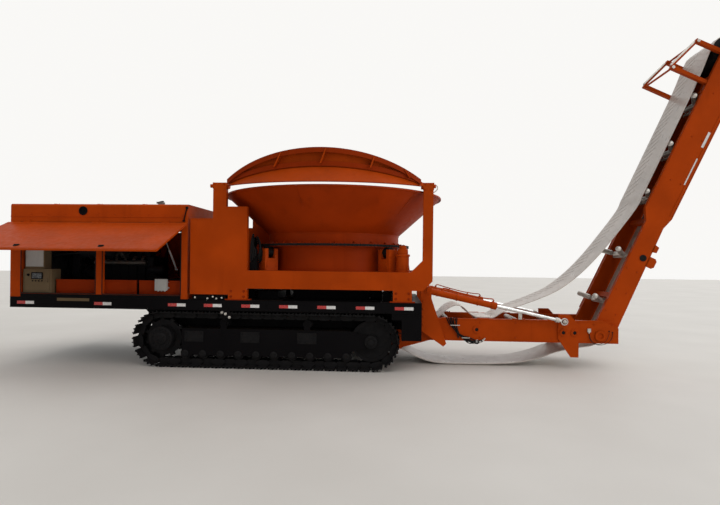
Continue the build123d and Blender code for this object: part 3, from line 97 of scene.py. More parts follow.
class Nodes:
    """A material's node tree, with short calls to add and join nodes. A pair is a node and its output."""

    def __init__(self, name):
        self.material = bpy.data.materials.new(name)
        self.material.use_nodes = True
        self.tree = self.material.node_tree
        self.tree.nodes.clear()
        self.out = self.add("OutputMaterial")
        self.shader = self.add("BsdfPrincipled")
        self.join((self.shader, "BSDF"), self.out, "Surface")
        self.place = self.add("TexCoord")

    def add(self, kind, **values):
        node = self.tree.nodes.new("ShaderNode" + kind)
        for key, value in values.items():
            setattr(node, key, value)
        return node

    def join(self, pair, node, socket):
        self.tree.links.new(pair[0].outputs[pair[1]], node.inputs[socket])

    def put(self, node, **values):
        """Sets sockets by name, with _ for a space."""
        for key, value in values.items():
            node.inputs[key.replace("_", " ")].default_value = value

    def noise(self, scale, detail=4.0, roughness=0.55, stretch=(1, 1, 1)):
        mapping = self.add("Mapping")
        self.put(mapping, Scale=stretch)
        self.join((self.place, "Object"), mapping, "Vector")
        node = self.add("TexNoise")
        self.put(node, Scale=scale, Detail=detail, Roughness=roughness)
        self.join((mapping, "Vector"), node, "Vector")
        return node, "Fac"

    def ramp(self, pair, low, low_colour, high, high_colour):
        node = self.add("ValToRGB")
        for i, position, colour in ((0, low, low_colour), (1, high, high_colour)):
            node.color_ramp.elements[i].position = position
            node.color_ramp.elements[i].color = (*colour, 1.0)
        self.join(pair, node, "Fac")
        return node, "Color"

    def fill(self, node, socket, value):
        """Joins a pair to a socket, or writes a number or a colour there."""
        if isinstance(value, tuple) and isinstance(value[0], bpy.types.Node):
            self.join(value, node, socket)
        else:
            node.inputs[socket].default_value = (*value, 1.0) if isinstance(value, tuple) else value

    def mix(self, factor, a, b):
        node = self.add("Mix", data_type="RGBA")
        for socket, value in ((0, factor), (6, a), (7, b)):
            self.fill(node, socket, value)
        return node, 2

    def math(self, operation, a, b):
        node = self.add("Math", operation=operation)
        self.fill(node, 0, a)
        self.fill(node, 1, b)
        return node, 0

    def colour(self, pair):
        self.join(pair, self.shader, "Base Color")

    def roughness(self, low, high, scale, detail):
        patches = self.ramp(self.noise(scale, detail), 0.3, grey(low), 0.7, grey(high))
        self.join(patches, self.shader, "Roughness")

    def bump(self, pair, strength, distance):
        node = self.add("Bump")
        self.put(node, Strength=strength, Distance=distance)
        self.join(pair, node, "Height")
        self.join((node, "Normal"), self.shader, "Normal")

    def edge_mask(self, radius, low, high):
        """White along edges, where a bevelled normal leaves the true one."""
        bevel = self.add("Bevel", samples=4)
        self.put(bevel, Radius=radius)
        geometry = self.add("NewGeometry")
        dot = self.add("VectorMath", operation="DOT_PRODUCT")
        self.join((bevel, "Normal"), dot, 0)
        self.join((geometry, "Normal"), dot, 1)
        return self.ramp(self.math("SUBTRACT", 1.0, (dot, "Value")), low, DARK, high, WHITE)

    def upward(self, low, high):
        """White on faces that look up."""
        geometry = self.add("NewGeometry")
        split = self.add("SeparateXYZ")
        self.join((geometry, "Normal"), split, "Vector")
        return self.ramp((split, "Z"), low, DARK, high, WHITE)


def painted(name, colour, rough=(0.32, 0.5), wear=0.25, chip_colour=(0.09, 0.06, 0.05), gloss=0.04):
    """Sprayed steel: cloudy colour, orange-peel bump, dust on top faces and chipped edges."""
    n = Nodes(name)
    base = n.ramp(n.noise(1.7, 3.0), 0.35, shade(colour, 0.88), 0.65, shade(colour, 1.06))
    grime = n.ramp(n.noise(5.0, 6.0, 0.6, (1, 1, 0.12)), 0.56, DARK, 0.78, grey(0.55))
    dirty = n.mix(grime, base, shade(colour, 0.62))
    settle = n.math("MULTIPLY", n.upward(0.3, 0.9), n.ramp(n.noise(9.0, 8.0), 0.38, DARK, 0.72, grey(DUST)))
    dusty = n.mix(settle, dirty, DUST_COLOUR)
    speck = n.ramp(n.noise(60.0, 3.0), 0.5, DARK, 0.62, grey(wear))
    n.colour(n.mix(n.math("MULTIPLY", n.edge_mask(0.007, 0.02, 0.2), speck), dusty, chip_colour))
    n.roughness(*rough, 14.0, 5.0)
    n.bump(n.noise(220.0, 2.0), 0.12, 0.002)
    n.put(n.shader, Specular_IOR_Level=gloss)
    return n.material


def steel(name, colour, metallic, rough, grain=40.0, bump=0.2, rust=0.0, rust_colour=(0.16, 0.07, 0.03),
          gloss=0.5):
    """Bare or worn metal with stains."""
    n = Nodes(name)
    base = n.ramp(n.noise(7.0, 7.0, 0.62), 0.32, shade(colour, 0.7), 0.68, shade(colour, 1.15))
    stain = n.ramp(n.noise(11.0, 8.0, 0.65), 0.5, DARK, 0.7, grey(rust))
    n.colour(n.mix(stain, base, rust_colour))
    n.put(n.shader, Metallic=metallic, Specular_IOR_Level=gloss)
    n.roughness(*rough, 16.0, 5.0)
    n.bump(n.noise(grain, 6.0, 0.6), bump, 0.004)
    return n.material


def rubber_belt():
    """Pale grey conveyor belt: a fine cloth print, scuffs along it and a worn sheen."""
    n = Nodes("belt_rubber")
    base = n.ramp(n.noise(2.2, 5.0), 0.35, (0.50, 0.445, 0.395), 0.65, (0.60, 0.535, 0.475))
    scuffs = n.ramp(n.noise(12.0, 6.0, 0.6, (0.4, 6, 0.4)), 0.55, DARK, 0.75, grey(0.5))
    n.colour(n.mix(scuffs, base, (0.38, 0.34, 0.30)))
    n.roughness(0.26, 0.42, 9.0, 5.0)
    weave = n.add("TexChecker")
    n.put(weave, Scale=260.0)
    n.join((n.place, "Object"), weave, "Vector")
    n.bump((weave, "Fac"), 0.05, 0.001)
    return n.material


def tape(name, colour):
    """Prismatic tape: a fine honeycomb under a clear film."""
    n = Nodes(name)
    cells = n.add("TexVoronoi", feature="DISTANCE_TO_EDGE")
    n.put(cells, Scale=190.0)
    n.join((n.place, "Object"), cells, "Vector")
    lines = n.ramp((cells, "Distance"), 0.02, shade(colour, 0.72), 0.10, colour)
    dirt = n.ramp(n.noise(14.0, 6.0), 0.5, DARK, 0.75, grey(0.45))
    n.colour(n.mix(dirt, lines, shade(colour, 0.5)))
    n.roughness(0.18, 0.34, 20.0, 4.0)
    n.put(n.shader, Coat_Weight=0.6)
    return n.material


def display_screen():
    n = Nodes("display_screen")
    n.colour(n.ramp(n.noise(26.0, 2.0), 0.45, (0.012, 0.014, 0.018), 0.62, (0.10, 0.11, 0.12)))
    n.roughness(0.08, 0.16, 30.0, 2.0)
    return n.material


DUST, DUST_COLOUR = 0.04, (0.30, 0.17, 0.07)
MATERIALS = {
    "orange_paint": painted("orange_paint", (0.43, 0.053, 0.003)),
    "dark_orange": painted("dark_orange", (0.27, 0.027, 0.002), rough=(0.4, 0.6)),
    "black_paint": painted("black_paint", (0.005, 0.0045, 0.005), rough=(0.35, 0.55),
                           chip_colour=(0.05, 0.045, 0.04), gloss=0.03),
    # Near black, darker than the track steel itself, to stand for the shade under the machine: partly
    # painted shade.
    "track_steel": steel("track_steel", (0.007, 0.0065, 0.007), 0.1, (0.5, 0.75), rust=0.35,
                         rust_colour=(0.016, 0.012, 0.009), gloss=0.12),
    "engine_paint": painted("engine_paint", (0.012, 0.012, 0.014), rough=(0.4, 0.6)),
    "radiator_core": steel("radiator_core", (0.05, 0.05, 0.052), 0.6, (0.4, 0.6), grain=120.0),
    # The box's beige, made dark brown to stand for the shade it sits in: painted shade.
    "beige_box": painted("beige_box", (0.16, 0.115, 0.065), rough=(0.4, 0.55), wear=0.2),
    "roller_steel": steel("roller_steel", (0.60, 0.57, 0.52), 0.4, (0.28, 0.45), rust=0.15),
    "mill_steel": steel("mill_steel", (0.13, 0.12, 0.11), 0.8, (0.4, 0.65), rust=0.5),
    "pulley_black": steel("pulley_black", (0.008, 0.0075, 0.0075), 0.0, (0.5, 0.7), grain=80.0, gloss=0.12),
    "chrome_rod": steel("chrome_rod", (0.78, 0.78, 0.77), 1.0, (0.12, 0.22), grain=300.0, bump=0.03),
    "belt_rubber": rubber_belt(),
}
# The tub's orange, darker than orange_paint: painted shade, since the tub stands in shade.
TUB_SHADED_PAINT = painted("tub_shaded_paint", (0.34, 0.034, 0.002), rough=(0.36, 0.54))
TAPE_RED = tape("tape_red", (0.55, 0.012, 0.010))
TAPE_WHITE = tape("tape_white", (0.82, 0.81, 0.79))
DISPLAY = display_screen()
RELAY_GREY = painted("relay_grey", (0.42, 0.42, 0.40), rough=(0.4, 0.55), wear=0.2)
GREY_STRUT = steel("grey_strut", grey(0.30), 0.7, (0.3, 0.45), grain=200.0, bump=0.05)
# Tub nodes take this shaded copy of the orange instead of their slot's material: painted shade.
SHADED_PAINT = dict.fromkeys(("tub_shell", "tub_ring", "floor_drum"), TUB_SHADED_PAINT)

slots = {row["node"]: row["material_slot"] for row in frame["record"]["subparts"]}
for name, obj in frame["nodes"].items():
    obj.data.materials.clear()
    obj.data.materials.append(SHADED_PAINT.get(name, MATERIALS[slots[name]]))

# Pieces. All lengths are in millimetres, as in the CAD, and become metres where a mesh is made.

MM = 0.001
NEAR, FAR, UP, DOWN, AHEAD, BACK = (0, -1, 0), (0, 1, 0), (0, 0, 1), (0, 0, -1), (1, 0, 0), (-1, 0, 0)


def series(first, step, count):
    return tuple(first + step * i for i in range(count))


def places(spot):
    """All the places that a spot stands for: each of its coordinates is a number or a tuple of them."""
    return itertools.product(*(c if isinstance(c, tuple) else (c,) for c in spot))


def circle(radius, count, shift=0.0):
    angles = [2 * math.pi * (i + shift) / count for i in range(count)]
    return [(radius * math.cos(angle), radius * math.sin(angle)) for angle in angles]


def smooth_line(points, steps):
    """Points on a Catmull-Rom curve through the given ones."""
    p = [Vector(point) for point in points]
    p = [2 * p[0] - p[1]] + p + [2 * p[-1] - p[-2]]
    line = []
    for i in range(1, len(p) - 2):
        for k in range(steps):
            t = k / steps
            a, b, c, d = p[i - 1:i + 3]
            line.append(0.5 * (2 * b + (c - a) * t + (2 * a - 5 * b + 4 * c - d) * t * t
                               + (3 * b - a - 3 * c + d) * t ** 3))
    line.append(p[-2])
    return line


def move(x, y, z):
    return Matrix.Translation((x, y, z))


def spin(degrees, axis="Z"):
    return Matrix.Rotation(math.radians(degrees), 4, axis)


class Shape:
    """One mesh gathered from plates, rods, tubes and bolts, each placed by self.place."""

    def __init__(self, place=None):
        self.bm = bmesh.new()
        self.place = place or Matrix.Identity(4)

    def faces(self, points, rings):
        verts = [self.bm.verts.new(MM * (self.place @ Vector(p))) for p in points]
        for ring in rings:
            self.bm.faces.new([verts[i] for i in ring])

    def box(self, x0, x1, y0, y1, z0, z1):
        self.prism([(x0, z0), (x1, z0), (x1, z1), (x0, z1)], y0, y1)

    def boxes(self, corners, size):
        """A grid of equal boxes, by their lower corners."""
        for x, y, z in places(corners):
            self.box(x, x + size[0], y, y + size[1], z, z + size[2])

    def prism(self, outline, y0, y1):
        """A plate with an outline in X and Z, from y0 to y1."""
        self.skin([(x, y, z) for y in (y0, y1) for x, z in outline], len(outline))

    def skin(self, points, sides, closed=False):
        """Faces over rows of points, each row a ring of sides points, with ends unless it is closed."""
        rows = len(points) // sides
        rings = []
        for k in range(rows if closed else rows - 1):
            a, b = k * sides, (k + 1) % rows * sides
            rings += [(a + i, a + (i + 1) % sides, b + (i + 1) % sides, b + i) for i in range(sides)]
        if not closed:
            rings += [tuple(range(sides))[::-1], tuple(range((rows - 1) * sides, rows * sides))]
        self.faces(points, rings)

    def lathe(self, profile, base, sides=24, along=NEAR, closed=False):
        """Turned parts: pairs of a distance along the axis and a radius, from each base along the axis."""
        turn = Vector(along).to_track_quat("Z", "Y").to_matrix().to_4x4()
        for place in places(base):
            spot = move(*place) @ turn
            self.skin([spot @ Vector((x, y, height)) for height, radius in profile
                       for x, y in circle(radius, sides)], sides, closed)

    def rod(self, a, b, radius, sides=16):
        along = Vector(b) - Vector(a)
        self.lathe([(0, radius), (along.length, radius)], a, sides, along)

    def ring(self, inner, outer, low, high, base, sides=32, along=NEAR):
        """A flat ring with a hole, between two heights."""
        self.lathe([(low, inner), (low, outer), (high, outer), (high, inner)], base, sides, along, True)

    def bolts(self, spots, size, along=NEAR):
        """Hexagon heads on washers."""
        for spot in places(spots):
            self.lathe([(0, 1.5 * size), (0.3 * size, 1.5 * size)], spot, 12, along)
            self.lathe([(0.3 * size, size), (1.1 * size, size), (1.25 * size, 0.8 * size)], spot, 6, along)

    def bolt_circle(self, centres, radius, count, size, along=NEAR):
        turn = Vector(along).to_track_quat("Z", "Y").to_matrix()
        for centre in places(centres):
            for x, y in circle(radius, count, 0.5):
                self.bolts(Vector(centre) + turn @ Vector((x, y, 0)), size, along)

    def tube(self, points, radius, sides=8, steps=5):
        """A round tube along a smooth line through the points."""
        line = smooth_line(points, steps)
        side = (line[1] - line[0]).orthogonal()
        verts = []
        for i, spot in enumerate(line):
            ahead = (line[min(i + 1, len(line) - 1)] - line[max(i - 1, 0)]).normalized()
            side = (side - ahead * side.dot(ahead)).normalized()
            up = ahead.cross(side)
            verts += [spot + side * x + up * y for x, y in circle(radius, sides)]
        self.skin(verts, sides)

    def mirror(self):
        """Adds the mirror image on the far side."""
        whole = self.bm.verts[:] + self.bm.edges[:] + self.bm.faces[:]
        copy = bmesh.ops.duplicate(self.bm, geom=whole)["geom"]
        for v in copy:
            if isinstance(v, bmesh.types.BMVert):
                v.co.y = -v.co.y
        bmesh.ops.reverse_faces(self.bm, faces=[f for f in copy if isinstance(f, bmesh.types.BMFace)])

    def finish(self, name, body, slot, bevel=0, material=None, smooth=50):
        """Makes the object, which rides on the body if one is given; bevel is the width of rounded edges."""
        bmesh.ops.recalc_face_normals(self.bm, faces=self.bm.faces[:])
        for face in self.bm.faces:
            face.smooth = True
        for edge in self.bm.edges:
            if len(edge.link_faces) == 2 and edge.calc_face_angle(0) > math.radians(smooth):
                edge.smooth = False
        mesh = bpy.data.meshes.new(name)
        self.bm.to_mesh(mesh)
        self.bm.free()
        obj = add_object(name, mesh)
        mesh.materials.append(material or MATERIALS[slot])
        if bevel:
            modifier = obj.modifiers.new("round", "BEVEL")
            modifier.width = bevel * MM
            modifier.segments = 2
            modifier.limit_method = "ANGLE"
            modifier.angle_limit = math.radians(40)
        if body:
            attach(obj, body)
        return obj


def piece(body, slot, bevel=0, material=None, place=None, mirror=False, replaces=None):
    """Makes the piece that the function below it draws, under that function's name."""
    def make(draw):
        shape = Shape(place)
        draw(shape)
        if mirror:
            shape.mirror()
        obj = shape.finish(draw.__name__, body, slot, bevel, material)
        if replaces:
            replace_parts(obj, replaces)
    return make


# Tracks

SPROCKET_X, IDLER_X, WHEEL_Z = -2755, 755, 470
PIN_RADIUS, SHOES = 384, 50
STRAIGHT, HALF_TURN = IDLER_X - SPROCKET_X, math.pi * PIN_RADIUS
PITCH = 2 * (STRAIGHT + HALF_TURN) / SHOES
LINK = [(-118, 0), (-100, -30), (-60, -46), (60, -46), (100, -30), (118, 0), (100, 30), (70, 45), (-70, 45),
        (-100, 30)]


def track_place(distance):
    """Place of a link at a distance along the loop, with its X along the chain and its Z outward."""
    if distance < STRAIGHT:
        x, angle = IDLER_X - distance, math.pi
    elif distance < STRAIGHT + HALF_TURN:
        x, angle = SPROCKET_X, math.pi - (distance - STRAIGHT) / PIN_RADIUS
    elif distance < 2 * STRAIGHT + HALF_TURN:
        x, angle = SPROCKET_X + distance - STRAIGHT - HALF_TURN, 0
    else:
        x, angle = IDLER_X, -(distance - 2 * STRAIGHT - HALF_TURN) / PIN_RADIUS
    return move(x, 0, WHEEL_Z) @ Matrix.Rotation(-angle, 4, "Y") @ move(0, 0, PIN_RADIUS)


def make_track(side, middle):
    shoes, chain = Shape(), Shape()
    half = PITCH / 2 - 7
    sole = [(-half, 47), (-half, 58), (20 - half, 61), (half - 20, 61), (half, 58), (half, 47), (0, 45)]
    y0, y1 = middle - 250, middle + 250
    for i in range(SHOES):
        shoes.place = chain.place = track_place((i + 0.5) * PITCH)
        shoes.prism(sole, y0, y1)
        for x, top in ((-66, 79), (0, 86), (66, 79)):
            shoes.prism([(x - 11, 60), (x - 6, top), (x + 6, top), (x + 11, 60)], y0, y1)
        shoes.bolts(((-33, 33), (middle - 100, middle + 100), 61), 11, UP)
        shift = 14 * (-1) ** i
        for y in (middle - 95 + shift, middle + 95 - shift):
            chain.prism(LINK, y - 14, y + 14)
        chain.place = track_place(i * PITCH)
        chain.rod((0, middle - 130, 0), (0, middle + 130, 0), 19, 10)
    for shape, name in ((shoes, "shoes"), (chain, "chain")):
        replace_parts(shape.finish(f"track_{name}_{side}", "root", "track_steel"), f"track_{side}")


make_track("near", -1000)
make_track("far", 1000)


@piece("root", "track_steel", 2, mirror=True)
def final_drive_covers(s):
    s.lathe([(0, 196), (12, 196), (16, 190), (16, 110), (34, 104), (40, 94)],
            (SPROCKET_X, -1180, WHEEL_Z), 40)
    s.bolt_circle((SPROCKET_X, -1196, WHEEL_Z), 152, 16, 14)
    s.bolt_circle((SPROCKET_X, -1220, WHEEL_Z), 60, 6, 11)


@piece("root", "track_steel", 2, mirror=True)
def idler_and_roller_caps(s):
    s.lathe([(0, 105), (14, 105), (20, 96), (20, 52), (36, 46), (38, 30)], (IDLER_X, -1150, WHEEL_Z), 32)
    s.bolt_circle((IDLER_X, -1170, WHEEL_Z), 78, 8, 11)
    rollers = series(-2350, 300, 10)
    s.lathe([(0, 60), (10, 60), (16, 50), (16, 22)], (rollers, -1150, 222), 20)
    s.bolt_circle((rollers, -1166, 222), 38, 4, 8)
    for x in (-2200, -1250, -300):
        s.box(x - 160, x + 160, -1160, -1150, 420, 600)
        s.bolts(((x - 130, x, x + 130), -1160, (450, 570)), 11)


# Chassis sides and the things on the deck

STRIP_STARTS = series(-2000, 627.4, 6) + (-5225, -3875, -2607)


def make_strips(name, offset, slot, material):
    strips = Shape()
    for start in STRIP_STARTS:
        x = start + offset
        strips.box(x, x + 149, -1251.5, -1250, 1012, 1062)
    strips.mirror()
    for y in (-1050, -350, 350, 900):
        strips.box(-5351.5, -5350, y + offset, y + offset + 149, 1012, 1062)
    strips.finish(name, "root", slot, material=material)


make_strips("strips_red", 0, "dark_orange", TAPE_RED)
make_strips("strips_white", 150, "roller_steel", TAPE_WHITE)


@piece("root", "black_paint", 1.5, mirror=True)
def fascia_trim(s):
    s.boxes((-5350, -1256, (953, 1124)), (6920, 6, 8))
    s.bolts((series(-5200, 620, 11), -1250, 985), 9)
    s.boxes(((-4454, -2904, -954, 346), -1254.5, 962), (8, 4.5, 162))
    s.boxes((1120, -1254.5, (640, 925)), (440, 4.5, 12))
    s.bolts(((1130, 1530), -1250, (560, 700, 900)), 11)


@piece("root", "black_paint", mirror=True)
def end_box_seams(s):
    s.boxes((1566, -1200, (700, 860)), (6, 300, 8))


@piece("root", "beige_box", 1.5)
def blank_plate(s):
    s.box(-4520, -3960, -1256, -1250, 1072, 1122)
    s.bolts(((-4500, -3980), -1256, (1085, 1110)), 5)


@piece("root", "black_paint", 1, mirror=True)
def fitting_plates(s):
    s.prism([(-1735, 1000), (-1735, 905), (-1700, 860), (-1580, 820), (-1530, 820), (-1530, 900),
             (-1600, 1000)], -1262, -1256)
    s.bolts(((-1710, -1620), -1262, 985), 7)


@piece("root", "roller_steel", 1, mirror=True)
def grease_fittings(s):
    for x, z in ((-1690, 925), (-1630, 905), (-1565, 850)):
        s.lathe([(0, 24), (10, 24)], (x, -1262, z), 6)
        s.lathe([(10, 18), (24, 18), (26, 12), (44, 12), (46, 7)], (x, -1262, z), 16)


@piece("root", "black_paint", 1, mirror=True)
def sill_trim(s):
    s.box(-5166, -2394, -1254.5, -1250, 1132, 1186)
    s.bolts((series(-5080, 290, 10), -1254.5, 1160), 4)


@piece("root", "black_paint", 6)
def valve_block(s):
    s.box(-2210, -1640, -1225, -1120, 1131, 1200)
    s.box(-2180, -1900, -1120, -1060, 1131, 1185)


@piece("root", "roller_steel")
def valve_couplings(s):
    for x, z in ((-2160, 1165), (-1950, 1150), (-1860, 1180), (-1800, 1150), (-1710, 1165)):
        s.lathe([(0, 13), (12, 13), (13, 9), (24, 9), (26, 6)], (x, -1225, z), 12)
        s.lathe([(0, 17), (6, 17)], (x, -1225, z), 6)


@piece("root", "black_paint", 3)
def deck_gear(s):
    """A valve bank and lockers under the tub frame."""
    # The black boxes also fill the gaps under the tub frame, which lie in shade: partly painted shade.
    for y in series(-860, 100, 7):
        s.box(-1200, -860, y, y + 90, 1130.5, 1262)
        s.lathe([(0, 30), (20, 30), (22, 20)], (-1030, y + 45, 1262), 14, UP)
    s.box(-1210, -850, 200, 860, 1130.5, 1255)
    s.box(-1216, -844, 194, 866, 1255, 1268)
    s.box(-1730, -1262, -860, 860, 1130.5, 1292)
    s.box(-1736, -1256, -866, 866, 1292, 1306)
    s.bolts((-1730, (-700, -200, 300, 800), 1240), 8, BACK)
    for y in (-870, 120):
        s.box(930, 1085, y, y + 740, 1130.5, 1250)
        s.box(924, 1091, y - 6, y + 746, 1250, 1262)
        s.bolts((1085, (y + 100, y + 370, y + 640), 1200), 6, AHEAD)
    s.box(740, 900, -440, 440, 1150, 1306)
    s.box(734, 906, -446, 446, 1306, 1314)
    s.boxes((670.5, (-440, 415), 1165), (69.5, 25, 130))


@piece("root", "pulley_black")
def deck_lines(s):
    for y, z in itertools.product(series(-815, 100, 6), (1165, 1215)):
        s.tube([(-1262, y, z), (-1245, y + 10, z + 4), (-1215, y - 10, z - 2), (-1200, y, z)], 13)


# Engine bay


@piece("root", "engine_paint", 6, replaces="engine_block")
def engine_casting(s):
    """An in-line six with its gearbox end and feet."""
    s.prism([(-4500, 1300), (-3460, 1300), (-3460, 1420), (-3420, 1460), (-3420, 1740), (-4520, 1740),
             (-4520, 1400)], -200, 200)
    s.prism([(-4440, 1160), (-3600, 1160), (-3520, 1300), (-4500, 1300)], -160, 160)
    for x in series(-4420, 165, 6):
        s.box(x, x + 145, -170, 170, 1742, 1860)
        s.prism([(x + 10, 1862), (x + 135, 1862), (x + 125, 1940), (x + 20, 1940)], -120, 120)
        s.box(x + 60, x + 85, -225, -201, 1340, 1700)
        s.bolts((x + 30, (-145, 145), 1862), 10, UP)
    s.box(-3420, -3320, -300, 300, 1220, 1820)
    s.lathe([(0, 300), (50, 300), (60, 270)], (-3372, 0, 1500), 32, BACK)
    for x, y in itertools.product((-4360, -3600), (-420, 300)):
        s.box(x, x + 120, y, y + 120, 1131, 1360)


@piece("root", "mill_steel")
def engine_manifold(s):
    for x in series(-4350, 165, 6):
        s.tube([(x, -170, 1810), (x, -240, 1820), (x, -290, 1790), (x, -310, 1740)], 26, 10)
    s.rod((-4420, -310, 1720), (-3440, -310, 1720), 48, 16)
    s.lathe([(0, 45), (30, 50), (40, 120), (100, 130), (120, 70), (160, 70), (180, 120), (240, 120),
             (260, 50)], (-4060, -330, 1920), along=AHEAD)
    s.tube([(-3800, -330, 1920), (-3720, -340, 1980), (-3660, -200, 2080), (-3520, 100, 2280),
            (-3450, 300, 2400)], 55, 12)


@piece("root", "engine_paint", replaces="engine_block")
def engine_fan(s):
    s.lathe([(0, 60), (20, 60), (30, 110), (60, 110), (70, 50), (160, 50)], (-4520, 0, 1620), along=BACK)
    for angle in series(0, 40, 9):
        s.place = move(-4660, 0, 1620) @ spin(angle, "X") @ Matrix.Rotation(0.45, 4, "Z")
        s.box(-6, 6, -55, 55, 90, 460)
    s.place = Matrix.Identity(4)
    s.ring(490, 505, 0, 140, (-4600, 0, 1620), 40, BACK)
    s.ring(100, 130, 0, 30, (-4550, -300, 1500), 24, BACK)
    s.rod((-4550, -300, 1500), (-4400, -300, 1500), 85, 20)
    s.tube([(-4565, -330, 1420), (-4565, 50, 1550), (-4565, 100, 1660), (-4565, -300, 1630),
            (-4565, -380, 1520)], 10, 6)


@piece("root", "engine_paint", 2)
def air_cleaner(s):
    for x, y, z, length, radius in ((-4500, -620, 1950, 620, 150), (-3300, -520, 1600, 300, 70)):
        s.lathe([(0, 0.5 * radius), (20, 0.9 * radius), (50, radius), (100, radius), (110, 0.96 * radius),
                 (length - 120, 0.96 * radius), (length - 110, radius), (length - 50, radius),
                 (length - 20, 0.85 * radius), (length, 0.4 * radius)], (x, y, z), 28, AHEAD)
    for x in (-4320, -4080):
        s.ring(148, 160, 0, 35, (x, -620, 1950), 28, AHEAD)
        s.box(x, x + 35, -640, -300, 1780, 1800)
    s.tube([(-3880, -620, 1950), (-3780, -600, 1950), (-3720, -500, 1940), (-3800, -350, 1920)], 50, 12)
    s.box(-4360, -4020, -700, -560, 1131, 1160)
    s.box(-4220, -4160, -660, -600, 1160, 1800)


@piece("root", "pulley_black")
def engine_hoses(s):
    s.tube([(-4960, -450, 2050), (-4850, -450, 2060), (-4720, -360, 2020), (-4620, -200, 1900),
            (-4500, -100, 1860)], 34, 12)
    s.tube([(-4960, 450, 1300), (-4800, 420, 1280), (-4620, 200, 1360), (-4520, 120, 1420)], 34, 12)
    for i in range(5):
        z, y = 1300 + 45 * i, -340 - 35 * i
        s.tube([(-3340, y, z), (-3200, y - 30, z + 10), (-3020, y - 100, z - 40), (-2720, y - 160, z - 50),
                (-2360, y - 120, z - 20)], 17)
    for i in range(3):
        s.tube([(-4960 + 20 * i, -980, 1900 - 50 * i), (-4600, -990 + 20 * i, 1980 - 60 * i),
                (-4100, -1000, 1990 - 50 * i), (-3840, -1010, 1960 - 50 * i)], 9, 6)


@piece("root", "engine_paint", 5, replaces="radiator_pack")
def radiator_frame(s):
    s.boxes((-5255, (-800, 740), 1131), (290, 60, 1169))
    s.box(-5255, -4965, -738, 738, 2200, 2300)
    s.box(-5255, -4965, -738, 738, 1131, 1250)
    s.lathe([(0, 50), (30, 50), (32, 60), (45, 55)], (-5110, -550, 2300), 18, UP)
    s.bolts((-4965, (-770, 770), (1220, 1500, 1800, 2100, 2260)), 10, AHEAD)


@piece("root", "radiator_core", replaces="radiator_pack")
def radiator_fins(s):
    s.boxes((-5200, -736, series(1262, 19.6, 48)), (180, 1472, 4))
    s.boxes((-5190, series(-724, 60, 25), 1252), (160, 8, 946))


@piece("root", "engine_paint", 10, replaces="hydraulic_tank")
def oil_tank(s):
    s.prism([(-2880, 1135), (-2420, 1135), (-2400, 1155), (-2400, 1860), (-2420, 1880), (-2880, 1880),
             (-2900, 1860), (-2900, 1155)], 150, 1050)
    s.boxes((-2905, (330, 830), 1135), (510, 40, 753))
    s.lathe([(0, 75), (20, 75), (22, 60), (60, 60)], (-2650, 300, 1880), 20, UP)
    s.lathe([(0, 50), (8, 50), (8, 16), (30, 16)], (-2650, 620, 1880), 20, UP)
    s.box(-2520, -2480, 140, 150, 1400, 1720)
    s.bolts((-2500, 140, (1420, 1700)), 9)


@piece("root", "beige_box", 3, RELAY_GREY)
def junction_box(s):
    s.box(-2840, -2650, -1225, -1165, 1272, 1452)
    s.box(-2846, -2644, -1233, -1225, 1266, 1458)
    s.boxes((-2860, -1165, (1300, 1400)), (230, 10, 25))
    s.bolts(((-2828, -2662), -1233, (1284, 1440)), 5)
    s.lathe([(0, 14), (22, 14)], ((-2800, -2745, -2690), -1195, 1272), 12, DOWN)


@piece("root", "beige_box", 3)
def control_door(s):
    s.box(-5105, -4675, -1226.2, -1220.2, 1235, 1575)
    s.bolts(((-5090, -4690), -1226.2, (1250, 1560)), 6)
    s.lathe([(0, 7), (60, 7)], (-5130, -1224, (1270, 1470)), 10, UP)
    s.rod((-4712, -1226, 1400), (-4712, -1240, 1400), 14, 16)
    s.box(-4720, -4704, -1245, -1240, 1360, 1440)


@piece("root", "black_paint", 3)
def control_display(s):
    s.box(-4990, -4790, -1238.2, -1226.2, 1430, 1545)
    s.lathe([(0, 12), (8, 12), (10, 9)], (series(-4970, 55, 4), -1226.2, 1400), 14)
    s.lathe([(0, 22), (6, 22), (8, 18), (22, 18)], (-5045, -1226.2, 1500), 18)


@piece("root", "black_paint", material=DISPLAY)
def control_glass(s):
    s.box(-4975, -4805, -1239.6, -1238.2, 1444, 1531)
    for x, top in zip(series(-4968, 43, 4), (1470, 1482, 1494, 1470)):
        s.box(x, x + 30, -1240.8, -1239.6, 1455, top)


@piece("root", "beige_box", 3, RELAY_GREY)
def relay_cover(s):
    s.box(-5125, -4815, -1186.6, -1180.2, 1640, 1940)
    s.bolts(((-5110, -4830), -1186.6, (1655, 1925)), 5)
    s.boxes((-5040, -1188.6, series(1690, 16, 5)), (140, 2, 8))


@piece("root", "dark_orange", 4)
def sill_details(s):
    s.box(-3150, -2420, -1155, -1125, 1196, 1430)
    s.box(-3150, -2420, -1165, -1155, 1405, 1430)
    s.box(-4600, -3200, -1165, -1155.5, 1405, 1430)
    s.bolts(((-3100, -2780, -2470, -4550, -4200, -3700, -3250), -1155, 1225), 10)


# Doors, roof and end wall

DOOR_OPEN = move(0, -1275, 2380) @ spin(-67, "X") @ move(0, 1275, -2380)
ACROSS = Matrix.Scale(-1, 4, FAR)


